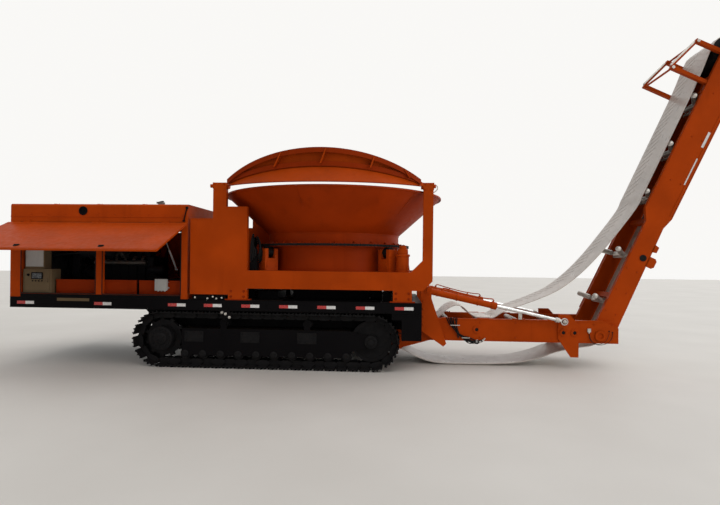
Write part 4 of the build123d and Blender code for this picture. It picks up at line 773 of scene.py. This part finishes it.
def make_door(side, place):
    """Ribs, rims, latches and hinge bolts of a door, drawn as if it were the near one, shut."""
    body = f"door_{side}"
    ribs = Shape(place)
    for x0, x1 in ((-4600, -4400), (-4100, -3900), (-3660, -3460), (-3100, -2900), (-2620, -2440)):
        ribs.box(x0, x1, -1260, -1248, 1235, 2290)
    ribs.boxes(((-5345, -2310), -1260, 1195), (14, 3, 1105))
    ribs.box(-5345, -2296, -1260, -1257, 1188, 1195)
    ribs.finish(f"door_ribs_{side}", body, "orange_paint", 4)
    latches = Shape(place)
    for x in (-4470, -3170):
        latches.lathe([(0, 45), (4, 45), (6, 38)], (x, -1290, 1300))
        latches.box(x - 35, x + 35, -1306, -1290, 1290, 1310)
        latches.box(x - 30, x + 30, -1260, -1257, 1240, 1330)
    latches.finish(f"door_latches_{side}", body, "black_paint", 2)
    edges = Shape(place)
    edges.bolts(((-5040, -4960, -3840, -3760, -2640, -2560), -1290, 2340), 8)
    edges.boxes((-5355, -1293.5, (1200, 2280)), (3070, 3.5, 12))
    edges.finish(f"door_edges_{side}", body, "orange_paint", 1)


def make_strut():
    """The near door's gas strut."""
    low, high = Vector((-2520, -1130, 1620)), DOOR_OPEN @ Vector((-2520, -1236, 1960))
    along = (high - low).normalized()
    middle = low + 0.55 * (high - low)
    strut = Shape()
    strut.rod(low, middle, 14, 14)
    strut.rod(middle - 10 * along, high, 6, 12)
    strut.lathe([(0, 15), (20, 15), (22, 9)], middle - 20 * along, 14, along)
    for spot in (low, high):
        strut.rod(spot - Vector((22, 0, 0)), spot + Vector((22, 0, 0)), 12, 12)
    obj = strut.finish("door_strut_0", None, "roller_steel", material=GREY_STRUT)
    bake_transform(obj)


make_door("near", DOOR_OPEN)
make_door("far", ACROSS)
make_strut()


@piece("root", "black_paint", 2, mirror=True)
def roof_vents(s):
    s.ring(50, 74, 0, 12, (-4080, -1250, 2585), 28)
    s.lathe([(0, 52), (4, 52)], (-4080, -1250, 2585))
    s.boxes((-4122, -1262, (2557, 2581, 2605)), (84, 12, 8))


@piece("root", "orange_paint", 1.5)
def roof_seams(s):
    s.box(-5350, -2290, -1256, -1250, 2480, 2492)
    s.bolts((series(-5270, 290, 11), -1250, 2525), 8)
    s.mirror()
    for x in (-4600, -3840, -3060):
        s.box(x - 20, x + 20, -1206, 1206, 2700, 2706)
        s.bolts((x, (-1100, -550, 0, 550, 1100), 2706), 9, UP)
    s.box(-5356, -5350, -1250, 1250, 2480, 2492)


@piece("root", "orange_paint", 3)
def roof_lifting_eyes(s):
    for x in (-5050, -2600):
        s.prism([(x - 70, 2702), (x + 70, 2702), (x + 35, 2775), (x - 35, 2775)], -12, 12)
        s.ring(20, 34, 0, 32, (x, -16, 2742), 20, FAR)
        s.box(x - 90, x + 90, -50, 50, 2700, 2706)


@piece("root", "mill_steel", 1)
def exhaust_pipe(s):
    s.lathe([(0, 64), (170, 64), (170, 58), (20, 58)], (-3450, 300, 2735), 28, UP)
    s.lathe([(0, 74), (6, 74), (10, 60)], (-3475, 300, 2904), 28, (-0.35, 0, 1))
    s.rod((-3530, 260, 2908), (-3530, 340, 2908), 7, 10)
    s.bolt_circle((-3450, 300, 2760.2), 78, 6, 6, UP)


@piece("root", "black_paint", 1)
def door_prop(s):
    s.rod((-2300, -1262, 2640), (-2352, -1262, 2425), 10, 10)
    s.box(-2320, -2280, -1268, -1250, 2620, 2660)
    s.box(-2372, -2332, -1268, -1250, 2412, 2436)


@piece("root", "pulley_black", mirror=True)
def door_gaskets(s):
    for x0, x1 in ((-5168, -3852), (-3748, -2392)):
        for z in (1190, 2381):
            s.box(x0, x1, -1255, -1250, z, z + 14)
        for x in (x0, x1 - 14):
            s.box(x, x + 14, -1255, -1250, 1204, 2381)


@piece("root", "orange_paint", 1)
def end_wall_fixings(s):
    s.bolts((-5350, (-1050, -950, 950, 1050), series(1200, 190, 6)), 10, BACK)
    s.bolts((-5350, series(-800, 200, 9), (1300, 2225)), 8, BACK)
    for y, z in itertools.product((-920, 920), (1340, 2200)):
        s.box(-5362, -5350, y - 30, y + 30, z - 50, z + 50)


@piece("root", "black_paint", 6, mirror=True)
def tail_lamp_bodies(s):
    s.box(-5372, -5350, -1195, -1045, 1145, 1215)


@piece("root", "dark_orange", 4, TAPE_RED, mirror=True)
def tail_lamp_lenses(s):
    s.boxes((-5378, (-1185, -1118), 1152), (6, 63, 56))


# Tub and its frame


@piece("tub", "orange_paint", 4, TUB_SHADED_PAINT)
def tub_rim(s):
    s.ring(1934, 1956, 2905, 2935, (0, 0, 0), 96, UP)


@piece("tub", "orange_paint", 1, TUB_SHADED_PAINT)
def tub_seams(s):
    s.ring(1190, 1199, 2240, 2258, (0, 0, 0), 96, UP)
    for angle in series(19, 60, 6):
        s.place = spin(angle)
        s.prism([(1190, 2262), (1193, 2262), (1927, 2900), (1924, 2900)], -5, 5)


@piece("tub", "orange_paint", 1, TUB_SHADED_PAINT)
def tub_ring_gussets(s):
    s.bolt_circle((0, 0, 2080), 1300, 48, 14, UP)
    for angle in series(7.5, 15, 24):
        s.place = spin(angle)
        s.prism([(1190.5, 2082), (1250, 2082), (1190.5, 2130)], -6, 6)


@piece("tub", "track_steel")
def tub_drive_chain(s):
    for angle in series(0, 360 / 132, 132):
        s.place = spin(angle)
        s.prism([(1370.5, 2040), (1376.5, 2036), (1376.5, 2074), (1370.5, 2070)], -31.5, 31.5)
        s.rod((1373.5, 0, 2034), (1373.5, 0, 2076), 8, 8)


@piece("tilt_frame", "mill_steel", 1.5)
def tub_floor_liners(s):
    s.boxes((-660, (-455, 425), 1620.5), (1320, 30, 20))
    s.boxes(((-675, 645), -455, 1620.5), (30, 910, 20))
    for angle in series(0, 30, 12):
        s.place = spin(angle)
        s.box(800, 1108, -200, 200, 1620.5, 1628.5)
        s.bolts(((860, 1050), (-150, 150), 1628.5), 12, UP)


@piece("tilt_frame", "orange_paint", 2)
def roller_gussets(s):
    for angle in (41.4, 138.6, 221.4, 318.6):
        s.place = spin(angle)
        for y in (-132, 120):
            s.prism([(1250, 1620.5), (1470, 1620.5), (1440, 1780), (1280, 1780)], y, y + 12)
        s.bolts(((1285, 1435), -132, 1700), 10)
        s.bolts(((1285, 1435), 132, 1700), 10, FAR)
        s.bolts((1480, (-90, 90), (1680, 1770, 1860)), 10, AHEAD)


@piece("tilt_frame", "orange_paint", 2)
def tub_drive(s):
    s.lathe([(0, 122), (18, 122), (22, 105), (255, 105), (260, 120), (285, 120), (290, 90), (375, 86),
             (385, 60), (430, 56), (436, 40)], (1258, -1022, 1620.5), 32, UP)
    s.bolt_circle((1258, -1022, 1638.5), 113, 10, 5, UP)
    s.bolt_circle((1258, -1022, 1905.5), 106, 10, 8, UP)
    for angle in series(0, 45, 8):
        s.place = move(1258, -1022, 1620.5) @ spin(angle)
        s.prism([(104, 18), (119, 18), (106, 120), (104, 120)], -4, 4)


# A black valve block that also darkens the hollow beside the tub, which lies in shade: partly painted shade.
@piece("tilt_frame", "black_paint", 4)
def tub_drive_valves(s):
    s.box(-1275, -1155, -1125, -995, 1620.5, 1760)
    s.box(-1262, -1168, -1115, -1005, 1760, 1900)
    s.lathe([(0, 50), (75, 50), (80, 38), (100, 38)], (-1215, -1060, 1900), 20, UP)
    s.bolts(((-1255, -1175), -1125, (1650, 1730)), 8)


# The hoses are spread wide to darken the same shaded hollow: partly painted shade.
@piece("tilt_frame", "pulley_black")
def tub_drive_hoses(s):
    for i in range(4):
        y, drop = -1055 + 26 * i, 34 * i
        s.tube([(-1168, y, 1860 - drop), (-1150, y, 1860 - drop), (-1125 + 0.3 * drop, y, 1960 - drop),
                (-1130, y + 10, 2080 - drop), (-1175, y + 50, 2170 - drop), (-1230, y + 120, 2170 - drop),
                (-1284, y + 180, 2060 - drop)], 14)
    for i in range(4):
        x, z = -1255 + 26 * i, 1775 + 30 * i
        s.tube([(x, -1115, z), (x, -1138, z), (x - 4, -1138, z + 80), (-1262 + 12 * i, -1110, 2060),
                (-1255 + 10 * i, -1020, 2220 - 30 * i), (-1270, -900, 2180 - 50 * i),
                (-1284, -800, 1980 - 70 * i)], 11)


@piece("tilt_frame", "orange_paint", 1.5)
def post_top_plates(s):
    for x0, x1 in ((-1865, -1645), (1575, 1735)):
        s.bolts(((x0 + 35, x1 - 35), -1250, (2950, 3035)), 10)
        s.ring(31.5, 60, 0, 10, (x1, -1200, 3010), 28, AHEAD)
        s.ring(31.5, 60, 0, 10, (x0, -1200, 3010), 28, BACK)
    s.boxes(((-1875, 1735), -1250, 3048), (10, 100, 12))
    s.box(-2240, -2232, -1256, -1250, 1230, 2465)
    s.box(-2240, -1865, -1256, -1250, 2458, 2470)


@piece("tilt_frame", "dark_orange", 2)
def frame_feet(s):
    for x0, x1 in ((-1598, -1285), (1105, 1409)):
        s.box(x0 - 50, x1 + 50, -1256, -1145, 1131, 1150)
        s.bolts(((x0 - 20, x1 + 20), -1256, 1141), 6)
        s.bolts(((x0 + 50, x1 - 50), -1250, (1190, 1280)), 14)


@piece("tilt_frame", "roller_steel")
def pin_grease_pipe(s):
    s.tube([(1745, -1200, 3020), (1790, -1200, 3020), (1800, -1200, 2970), (1770, -1200, 2930),
            (1740, -1200, 2910)], 9, 10)


# Hood

HOOD_LEFT, HOOD_RIGHT, HOOD_END = -1637, 1567, 70
HOOD_EDGE, HOOD_FOLD, HOOD_CREST = (-800, -35), (-540, 250), (-540, 490)


def hood_point(x, reach):
    """A point on the arc of one reach from the hood's axis, at a place along the machine."""
    middle, half = (HOOD_LEFT + HOOD_RIGHT) / 2, (HOOD_RIGHT - HOOD_LEFT) / 2
    length = math.hypot(*reach)
    rise = length - HOOD_END
    radius = (half ** 2 + rise ** 2) / (2 * rise)
    part = (math.sqrt(radius ** 2 - (x - middle) ** 2) + length - radius) / length
    return Vector((x, -1200 + part * reach[0], 3010 + part * reach[1]))


def hood_band(shape, reach, across, depth, start=(0, 0, 0), count=64):
    """A flat bar that follows an arc, from start off it: across and depth are its sides."""
    points = []
    for i in range(count + 1):
        spot = hood_point(-1600 + 3130 * i / count, reach) + Vector(start)
        points += [spot, spot + Vector(across), spot + Vector(across) + Vector(depth), spot + Vector(depth)]
    shape.skin(points, 4)


# The flanges are dark orange, darker than the hood, to give the dark bands under the crest and fold: painted
# shade.
@piece("hood", "dark_orange", 2)
def hood_flanges(s):
    hood_band(s, HOOD_CREST, (0, -85, 4), (0, 0, 10))
    hood_band(s, HOOD_CREST, (0, -7, 0), (0, 0, -70), (0, -78, 4))
    hood_band(s, HOOD_FOLD, (0, -50, -30), (0, -4, 8))
    hood_band(s, HOOD_FOLD, (0, -6, 0), (0, -4, 70), (0, -44, -22))
    hood_band(s, HOOD_EDGE, (0, -10, -12), (0, 18, -4))


@piece("hood", "orange_paint", 1)
def hood_gussets(s):
    for top, foot in ((-631, -738), (70, -11), (800, 741), (1263, 1349)):
        fold, crest = hood_point(foot, HOOD_FOLD), hood_point(top, HOOD_CREST)
        y, low, high = fold.y - 12, fold.z + 20, crest.z - 6
        corners = ((foot, y, low), (foot, y - 105, low - 20), (top, crest.y - 100, high),
                   (top, crest.y - 10, high))
        s.skin([(x + shift, y, z) for shift in (-9, 9) for x, y, z in corners], 4)


@piece("hood", "roller_steel")
def hood_end_bolts(s):
    s.bolt_circle((HOOD_LEFT, -1200, 3010), 37, 4, 6, BACK)
    s.bolt_circle((HOOD_RIGHT, -1200, 3010), 37, 4, 6, AHEAD)


# Mill


@piece("mill_rotor", "mill_steel", 3)
def hammer_tips(s):
    s.bolt_circle((-699, 0, 1290), 30, 6, 8, BACK)
    s.bolt_circle((699, 0, 1290), 30, 6, 8, AHEAD)
    for i, side in itertools.product(range(8), range(4)):
        s.place = move(0, 0, 1290) @ spin(90 * side + 22.5 * (i % 4), "X")
        x = -516.25 + 147.5 * i
        s.box(x - 27, x + 27, -48, 48, 330, 398)
        s.bolts((x, -49, 360), 8)


@piece("root", "track_steel", 2)
def mill_bearings(s):
    for x, along in ((-670, BACK), (670, AHEAD)):
        s.ring(60.5, 120, 0, 24, (x, 0, 1290), along=along)
    s.bolt_circle((-694, 0, 1290), 95, 8, 10, BACK)
    s.bolt_circle((694, 0, 1290), 95, 8, 10, AHEAD)


# Lower conveyor section with its cylinders

SOCKETS = ((2540, -600, 645), (3985, -625, 625), (4170, -625, 625))


@piece("conveyor_lower", "orange_paint", 1.5, mirror=True)
def lower_beam_trim(s):
    s.boxes((1760, -606, (462, 806)), (3120, 6, 12))
    for x, face, height in SOCKETS:
        s.ring(30, 62, 0, 14, (x, face, height), 28)
        s.bolt_circle((x, face - 14, height), 47, 6, 6)
    s.bolts(((2000, 2600, 3200, 3800, 4500, 4800), -600, 520), 10)
    s.bolts(((2000, 2600, 3200, 4500, 4800), -600, 770), 10)
    s.ring(50.5, 85, 0, 18, (4593, -620, 579))


@piece("conveyor_lower", "pulley_black", mirror=True)
def lower_beam_sockets(s):
    for socket in SOCKETS:
        s.lathe([(0, 30), (4, 30), (6, 24)], socket)


@piece("conveyor_lower", "orange_paint", 2, mirror=True)
def idler_brackets(s):
    for x in (2050, 2650, 3250, 3850):
        s.bolts(((x - 80, x + 80), -560, 830), 10, UP)
        s.box(x - 100, x + 100, -600, -522, 830.2, 842)


def hose_line(layer, a, b, c, d):
    """The way of one hose over the beam's face, in one of three layers; a to d shift it at its bends."""
    y = -612 - 11 * layer
    return [(2030 + a, -580, 842), (2036 + a, y, 820), (2080 + 0.6 * a + 0.3 * b, y - 4, 735 - 0.4 * b),
            (2180 + 0.5 * b + 0.5 * c, y - 8, 625 - 0.7 * a + 0.4 * c),
            (2300 + c, y - 4, 500 + 0.3 * d - 0.3 * c), (2400 + 0.6 * c + d, y, 418 + 0.3 * b),
            (2490 + 0.5 * b + d, y, 412 + 0.4 * a)]


HOSE_LINES = [hose_line(*row) for row in (
    (0, 0, 0, 0, 0), (1, 30, 50, -20, 50), (2, 60, -20, 50, 100), (0, 80, 90, 20, -40), (1, 110, 20, 80, 30),
    (2, 140, 120, -40, 80), (0, 170, 60, 100, 140))]


@piece("conveyor_lower", "pulley_black", mirror=True)
def beam_hoses(s):
    for line in HOSE_LINES:
        s.tube(line, 9)


@piece("conveyor_lower", "roller_steel", 1, mirror=True)
def hose_clips(s):
    for line in HOSE_LINES:
        s.lathe([(0, 13), (16, 13), (18, 10), (36, 10)], line[-1], 10, Vector(line[-1]) - Vector(line[-2]))
    for x0, x1, z in ((2090, 2250, 712), (2285, 2420, 500)):
        s.box(x0, x1, -654.5, -650, z, z + 12)
        for x in (x0, x1 - 6):
            s.box(x, x + 6, -650, -600, z, z + 12)
    s.lathe([(0, 30), (4, 30), (6, 26)], (3965, -762, 822))
    s.bolts((3965, -768, 822), 11)


@piece("conveyor_lower", "roller_steel", 2)
def sensor_bracket(s):
    s.box(3240, 3300, -612, -600, 835, 960)
    s.box(3240, 3300, -612, -570, 832, 840)
    s.bolts((3270, -612, (870, 930)), 8)
    s.box(4385, 4440, -628, -600, 640, 700)
    s.lathe([(0, 12), (20, 12), (22, 8)], (4412, -616, 640), 12, DOWN)


@piece("conveyor_lower", "pulley_black")
def sensor_cable(s):
    s.tube([(4412, -616, 622), (4420, -620, 540), (4480, -632, 452), (4600, -636, 432), (4720, -632, 470),
            (4790, -616, 560), (4800, -604, 640)], 4.5, 6)
    s.tube([(4412, -616, 622), (4450, -622, 500), (4560, -640, 440), (4680, -636, 500), (4740, -612, 610),
            (4745, -604, 660)], 3.5, 6)
    for x, z in ((4800, 640), (4745, 660)):
        s.lathe([(0, 12), (6, 12)], (x, -600, z), 12)


LIFT, LIFT_UP = Vector((0.97811, 0, -0.20809)), Vector((0.20809, 0, 0.97811))


def on_barrel(along, height=0):
    """A point along the near cylinder's axis from its rear pin, and above it."""
    return Vector((1690, -702, 1306)) + along * LIFT + height * LIFT_UP


@piece("lift_barrels", "orange_paint", 1, mirror=True)
def cylinder_heads(s):
    nose = on_barrel(1180)
    s.ring(29.5, 64, -85, 0, nose, 28, LIFT)
    s.ring(29.5, 46, 0, 14, nose, 28, LIFT)
    s.ring(55.2, 60, 160, 190, on_barrel(0), 28, LIFT)
    s.bolt_circle(nose, 53, 8, 6, LIFT)
    for along in (240, 1120):
        s.lathe([(0, 18), (18, 18), (20, 13), (38, 13)], on_barrel(along, 52), 14, LIFT_UP)
    s.tube([on_barrel(*spot) for spot in ((240, 90), (280, 104), (450, 92), (750, 80), (1000, 92),
                                          (1090, 104), (1120, 90))], 9)
    for along in (500, 860):
        s.ring(55.2, 62, 0, 24, on_barrel(along), 28, LIFT)
        s.rod(on_barrel(along + 12, 55), on_barrel(along + 12, 84), 10, 10)


@piece("lift_rods", "roller_steel", 1, mirror=True)
def rod_end_collars(s):
    s.ring(28.5, 42, -140, -75, (3965, -702, 822), 24, LIFT)
    s.ring(42.5, 56, 0, 5, (3965, -747, 822), 28)


@piece("root", "orange_paint", 1.5, mirror=True)
def anchor_fixings(s):
    s.bolts((1620, -787, (740, 870, 1000, 1130)), 12)
    s.ring(30.5, 58, 0, 10, (1690, -787, 1306), 28)
    s.box(1668, 1712, -809, -802, 1282, 1368)
    s.box(1668, 1712, -802, -787, 1345, 1368)
    s.bolts((1690, -809, 1357), 6)


# Upper conveyor section: drawn along X from the fold pin, then put in its place

UPPER = move(4593, 0, 579) @ spin(-65, "Y")


@piece("conveyor_upper", "orange_paint", 1.5, place=UPPER, mirror=True)
def upper_beam_trim(s):
    s.boxes((2330, -521, (-248, -200)), (2950, 6, 12))
    for x0, x1, z in ((380, 2000, 108), (2350, 5300, 218)):
        s.box(x0, x1, -521, -515, z, z + 12)
        s.box(x0, x1, -540, -515, z + 12, z + 18)
    s.bolts(((450, 850, 1250, 2900, 3700, 4500, 5100), -515, (-120, 60)), 10)
    s.prism([(1400, -190), (1580, -190), (1580, -300), (1545, -335), (1435, -335), (1400, -300)],
            -515, -490)
    s.prism([(1660, -185), (1800, -185), (1780, -270), (1680, -270)], -515, -490)


@piece("conveyor_upper", "pulley_black", place=UPPER, mirror=True)
def upper_beam_socket(s):
    s.lathe([(0, 34), (4, 34), (6, 26)], (1507, -515, -104))
    s.ring(34, 56, 0, 10, (1507, -515, -104), 24)


@piece("conveyor_upper", "roller_steel", material=TAPE_WHITE, place=UPPER, mirror=True)
def upper_beam_strips(s):
    s.box(2910, 3400, -516.4, -515, -196, -166)
    s.box(3600, 3880, -516.4, -515, -196, -146)


@piece("conveyor_upper", "roller_steel", 1, place=UPPER, mirror=True)
def wing_roller_ends(s):
    for x in (600, 1500, 2600, 3500, 4400):
        centre = move(x, -290, 219) @ spin(-33, "X")
        for lift in (-118, 118):
            along = centre.to_3x3() @ Vector((0, lift, 0))
            s.lathe([(0, 44), (6, 44), (10, 30), (22, 12)], centre.translation + along, 20, along)
        s.box(x - 20, x + 20, -440, -300, -30, -22)
        s.bolts((x, (-420, -360), 6), 10, UP)


@piece("conveyor_upper", "track_steel", 1, place=UPPER)
def head_bearings(s):
    s.boxes((5215, (-440, 426), 70), (170, 14, 160))
    s.ring(41, 78, 0, 30, (5300, 515, 150), 28, FAR)
    s.bolt_circle((5300, 545, 150), 60, 4, 9, FAR)
    s.lathe([(0, 116), (12, 116), (14, 100), (50, 100)], (5300, -745, 150), 28)
    s.bolt_circle((5300, -757, 150), 108, 8, 7)
    s.lathe([(0, 18), (20, 18), (30, 13), (50, 13)], ((5260, 5340), -640, 255), 12, UP)


@piece("conveyor_upper", "pulley_black")
def pulley_lagging(s):
    for angle in series(0, 360 / 28, 28):
        s.place = UPPER @ move(5300, 0, 150) @ spin(angle, "Y")
        s.box(-9, 9, -424, 424, 227, 230.2)


@piece("conveyor_upper", "roller_steel", 1, place=UPPER, mirror=True)
def guard_rail(s):
    s.rod((4660, -477.5, 886), (5170, -477.5, 706), 20, 14)
    for x, z in ((4630, 844), (5200, 664)):
        s.lathe([(0, 26), (12, 26), (14, 18)], (x, -515, z), 16)


# Belt: routes in X and Z, and points on the upper section given as on a straight conveyor

COLUMNS = series(-425, 85, 11)
BELT_HALF = 6
CLEAT_PITCH, CLEAT_HEIGHT = 120, 3


def on_upper(*spots):
    return [(spot.x, spot.z) for spot in (UPPER @ Vector((x, 0, z)) for x, z in spots)]


def arc(x, z, radius, first, step, count):
    """Points on an arc, at a series of angles in degrees."""
    return [(x + radius * math.cos(math.radians(angle)), z + radius * math.sin(math.radians(angle)))
            for angle in series(first, step, count)]


SLACK_TOP = [(2760, 836.3), (2860, 838), (3040, 950), (3340, 1065), (3660, 1190), (3980, 1350),
             (4300, 1600), (4600, 1910), (4880, 2260)] + on_upper((2250, 331), (2500, 331))
SLACK_RETURN = [(2150, 20), (2500, 22), (2900, 34), (3300, 70), (3650, 155), (3950, 270), (4250, 340),
                (4560, 400), (4730, 560)] + on_upper((300, -150), (500, -150))
LOWER_RUN = ([(2760, 836.3), (2580, 840), (2460, 890), (2330, 1010), (2200, 1040), (2060, 975),
              (1930, 850), (1700, 695), (1450, 600)]
             + arc(1150, 420, 136.3, 75, 17.5, 13) + [(1380, 205), (1600, 100), (1850, 35), (2150, 20)])
UPPER_RUN = on_upper((2500, 331), (2800, 332), (4500, 350), (5100, 381),
                     *arc(5300, 150, 236.5, 85, -10, 18), (5000, -85), (4700, -100), (4300, -148),
                     (2000, -150), (500, -150))


def strip(name, route, body, steps=6):
    """The belt along a route, its outer face on the left of the way along, with low V-shaped cleats."""
    line = [(p.x, p.z) for p in smooth_line([(x, 0, z) for x, z in route], steps)]
    sums = [0]
    for a, b in zip(line, line[1:]):
        sums.append(sums[-1] + math.dist(a, b))

    def above(i, part, lift):
        """A point in part of step i along the line, and lifted off it."""
        (x0, z0), (x1, z1), (x2, z2) = line[max(i - 1, 0)], line[i], line[min(i + 1, len(line) - 1)]
        lift /= math.hypot(x2 - x0, z2 - z0)
        return x1 + part * (x2 - x1) + lift * (z0 - z2), z1 + part * (z2 - z1) + lift * (x2 - x0)

    points = []
    for i in range(len(line)):
        for lift, columns in ((BELT_HALF, COLUMNS), (-BELT_HALF, COLUMNS[::-1])):
            x, z = above(i, 0, lift)
            points += [(x, y, z) for y in columns]
    shape = Shape()
    shape.skin(points, 2 * len(COLUMNS))
    middle = 160
    while middle < sums[-1] - 40:
        points = []
        for y, back in ((20, 0), (140, 50), (260, 100), (370, 140)):
            for shift in (-12, 12):
                distance = min(max(middle - back + shift, 0), sums[-1] - 0.001)
                i = max(k for k in range(len(line) - 1) if sums[k] <= distance)
                part = (distance - sums[i]) / (sums[i + 1] - sums[i])
                for lift in (BELT_HALF - 1, BELT_HALF + CLEAT_HEIGHT):
                    x, z = above(i, part, lift)
                    points.append((x, y, z))
        faces = [(0, 1, 3, 2), (12, 14, 15, 13)]
        for a in (0, 4, 8):
            faces += [(a, a + 4, a + 5, a + 1), (a + 1, a + 5, a + 7, a + 3), (a + 3, a + 7, a + 6, a + 2)]
        shape.faces(points, faces)
        shape.faces([(x, -y, z) for x, y, z in points], faces)
        middle += CLEAT_PITCH
    return shape.finish(name, body, "belt_rubber", smooth=60)


def make_belt():
    """The belt's four parts."""
    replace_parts(strip("belt_tail", LOWER_RUN[::-1], "conveyor_lower"), "belt_lower")
    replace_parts(strip("belt_head", UPPER_RUN, "conveyor_upper"), "belt_upper")
    carry = strip("belt_slack_carry", SLACK_TOP, None, steps=8)
    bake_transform(carry)
    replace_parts(carry, "belt_slack_top")
    back = strip("belt_slack_back", SLACK_RETURN[::-1], None, steps=8)
    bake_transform(back)
    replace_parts(back, "belt_slack_return")


make_belt()

# Stage and light

FLOOR_HALF = 60.0


def make_stage():
    mesh = bpy.data.meshes.new("floor")
    corners = [(x * FLOOR_HALF, y * FLOOR_HALF, 0) for x, y in ((-1, -1), (1, -1), (1, 1), (-1, 1))]
    mesh.from_pydata(corners, [], [(0, 1, 2, 3)])
    floor = add_object("floor", mesh)
    n = Nodes("floor")
    n.colour(n.ramp(n.noise(0.5, 3.0), 0.3, (0.66, 0.63, 0.58), 0.7, (0.71, 0.68, 0.63)))
    n.put(n.shader, Roughness=0.6)
    mesh.materials.append(n.material)


def sun(name, direction, strength, softness, colour=WHITE):
    """Even light from a direction, as from a wide soft box; softness is its width in degrees."""
    data = bpy.data.lights.new(name, "SUN")
    data.energy = strength
    data.angle = math.radians(softness)
    data.color = colour
    add_object(name, data).rotation_euler = Vector(direction).to_track_quat("Z", "Y").to_euler()


def make_world():
    """A dim surround as light, and a bright one where the camera or a reflection sees it."""
    world = bpy.data.worlds.new("studio")
    bpy.context.scene.world = world
    world.use_nodes = True
    nodes, join = world.node_tree.nodes, world.node_tree.links.new
    dim, bright = nodes["Background"], nodes.new("ShaderNodeBackground")
    for node, colour, strength in ((dim, (0.93, 0.95, 1.0, 1), 0.30), (bright, (1.0, 0.99, 0.97, 1), 0.95)):
        node.inputs["Color"].default_value = colour
        node.inputs["Strength"].default_value = strength
    path, either, mix = (nodes.new("ShaderNode" + kind) for kind in ("LightPath", "Math", "MixShader"))
    either.operation = "MAXIMUM"
    join(path.outputs["Is Camera Ray"], either.inputs[0])
    join(path.outputs["Is Glossy Ray"], either.inputs[1])
    join(either.outputs[0], mix.inputs[0])
    join(dim.outputs[0], mix.inputs[1])
    join(bright.outputs[0], mix.inputs[2])
    join(mix.outputs[0], nodes["World Output"].inputs["Surface"])


make_stage()
make_world()
sun("key", (0.10, -0.62, 0.80), 0.62, 35, (1.0, 0.98, 0.95))
sun("top", (0.25, 0.15, 1.0), 0.85, 60)
sun("side", (0.85, -0.40, 0.12), 0.95, 40, (1.0, 0.98, 0.95))
sun("rear", (0.60, 0.75, 0.55), 0.40, 50, (0.96, 0.98, 1.0))
bpy.context.scene.view_settings.view_transform = "Standard"
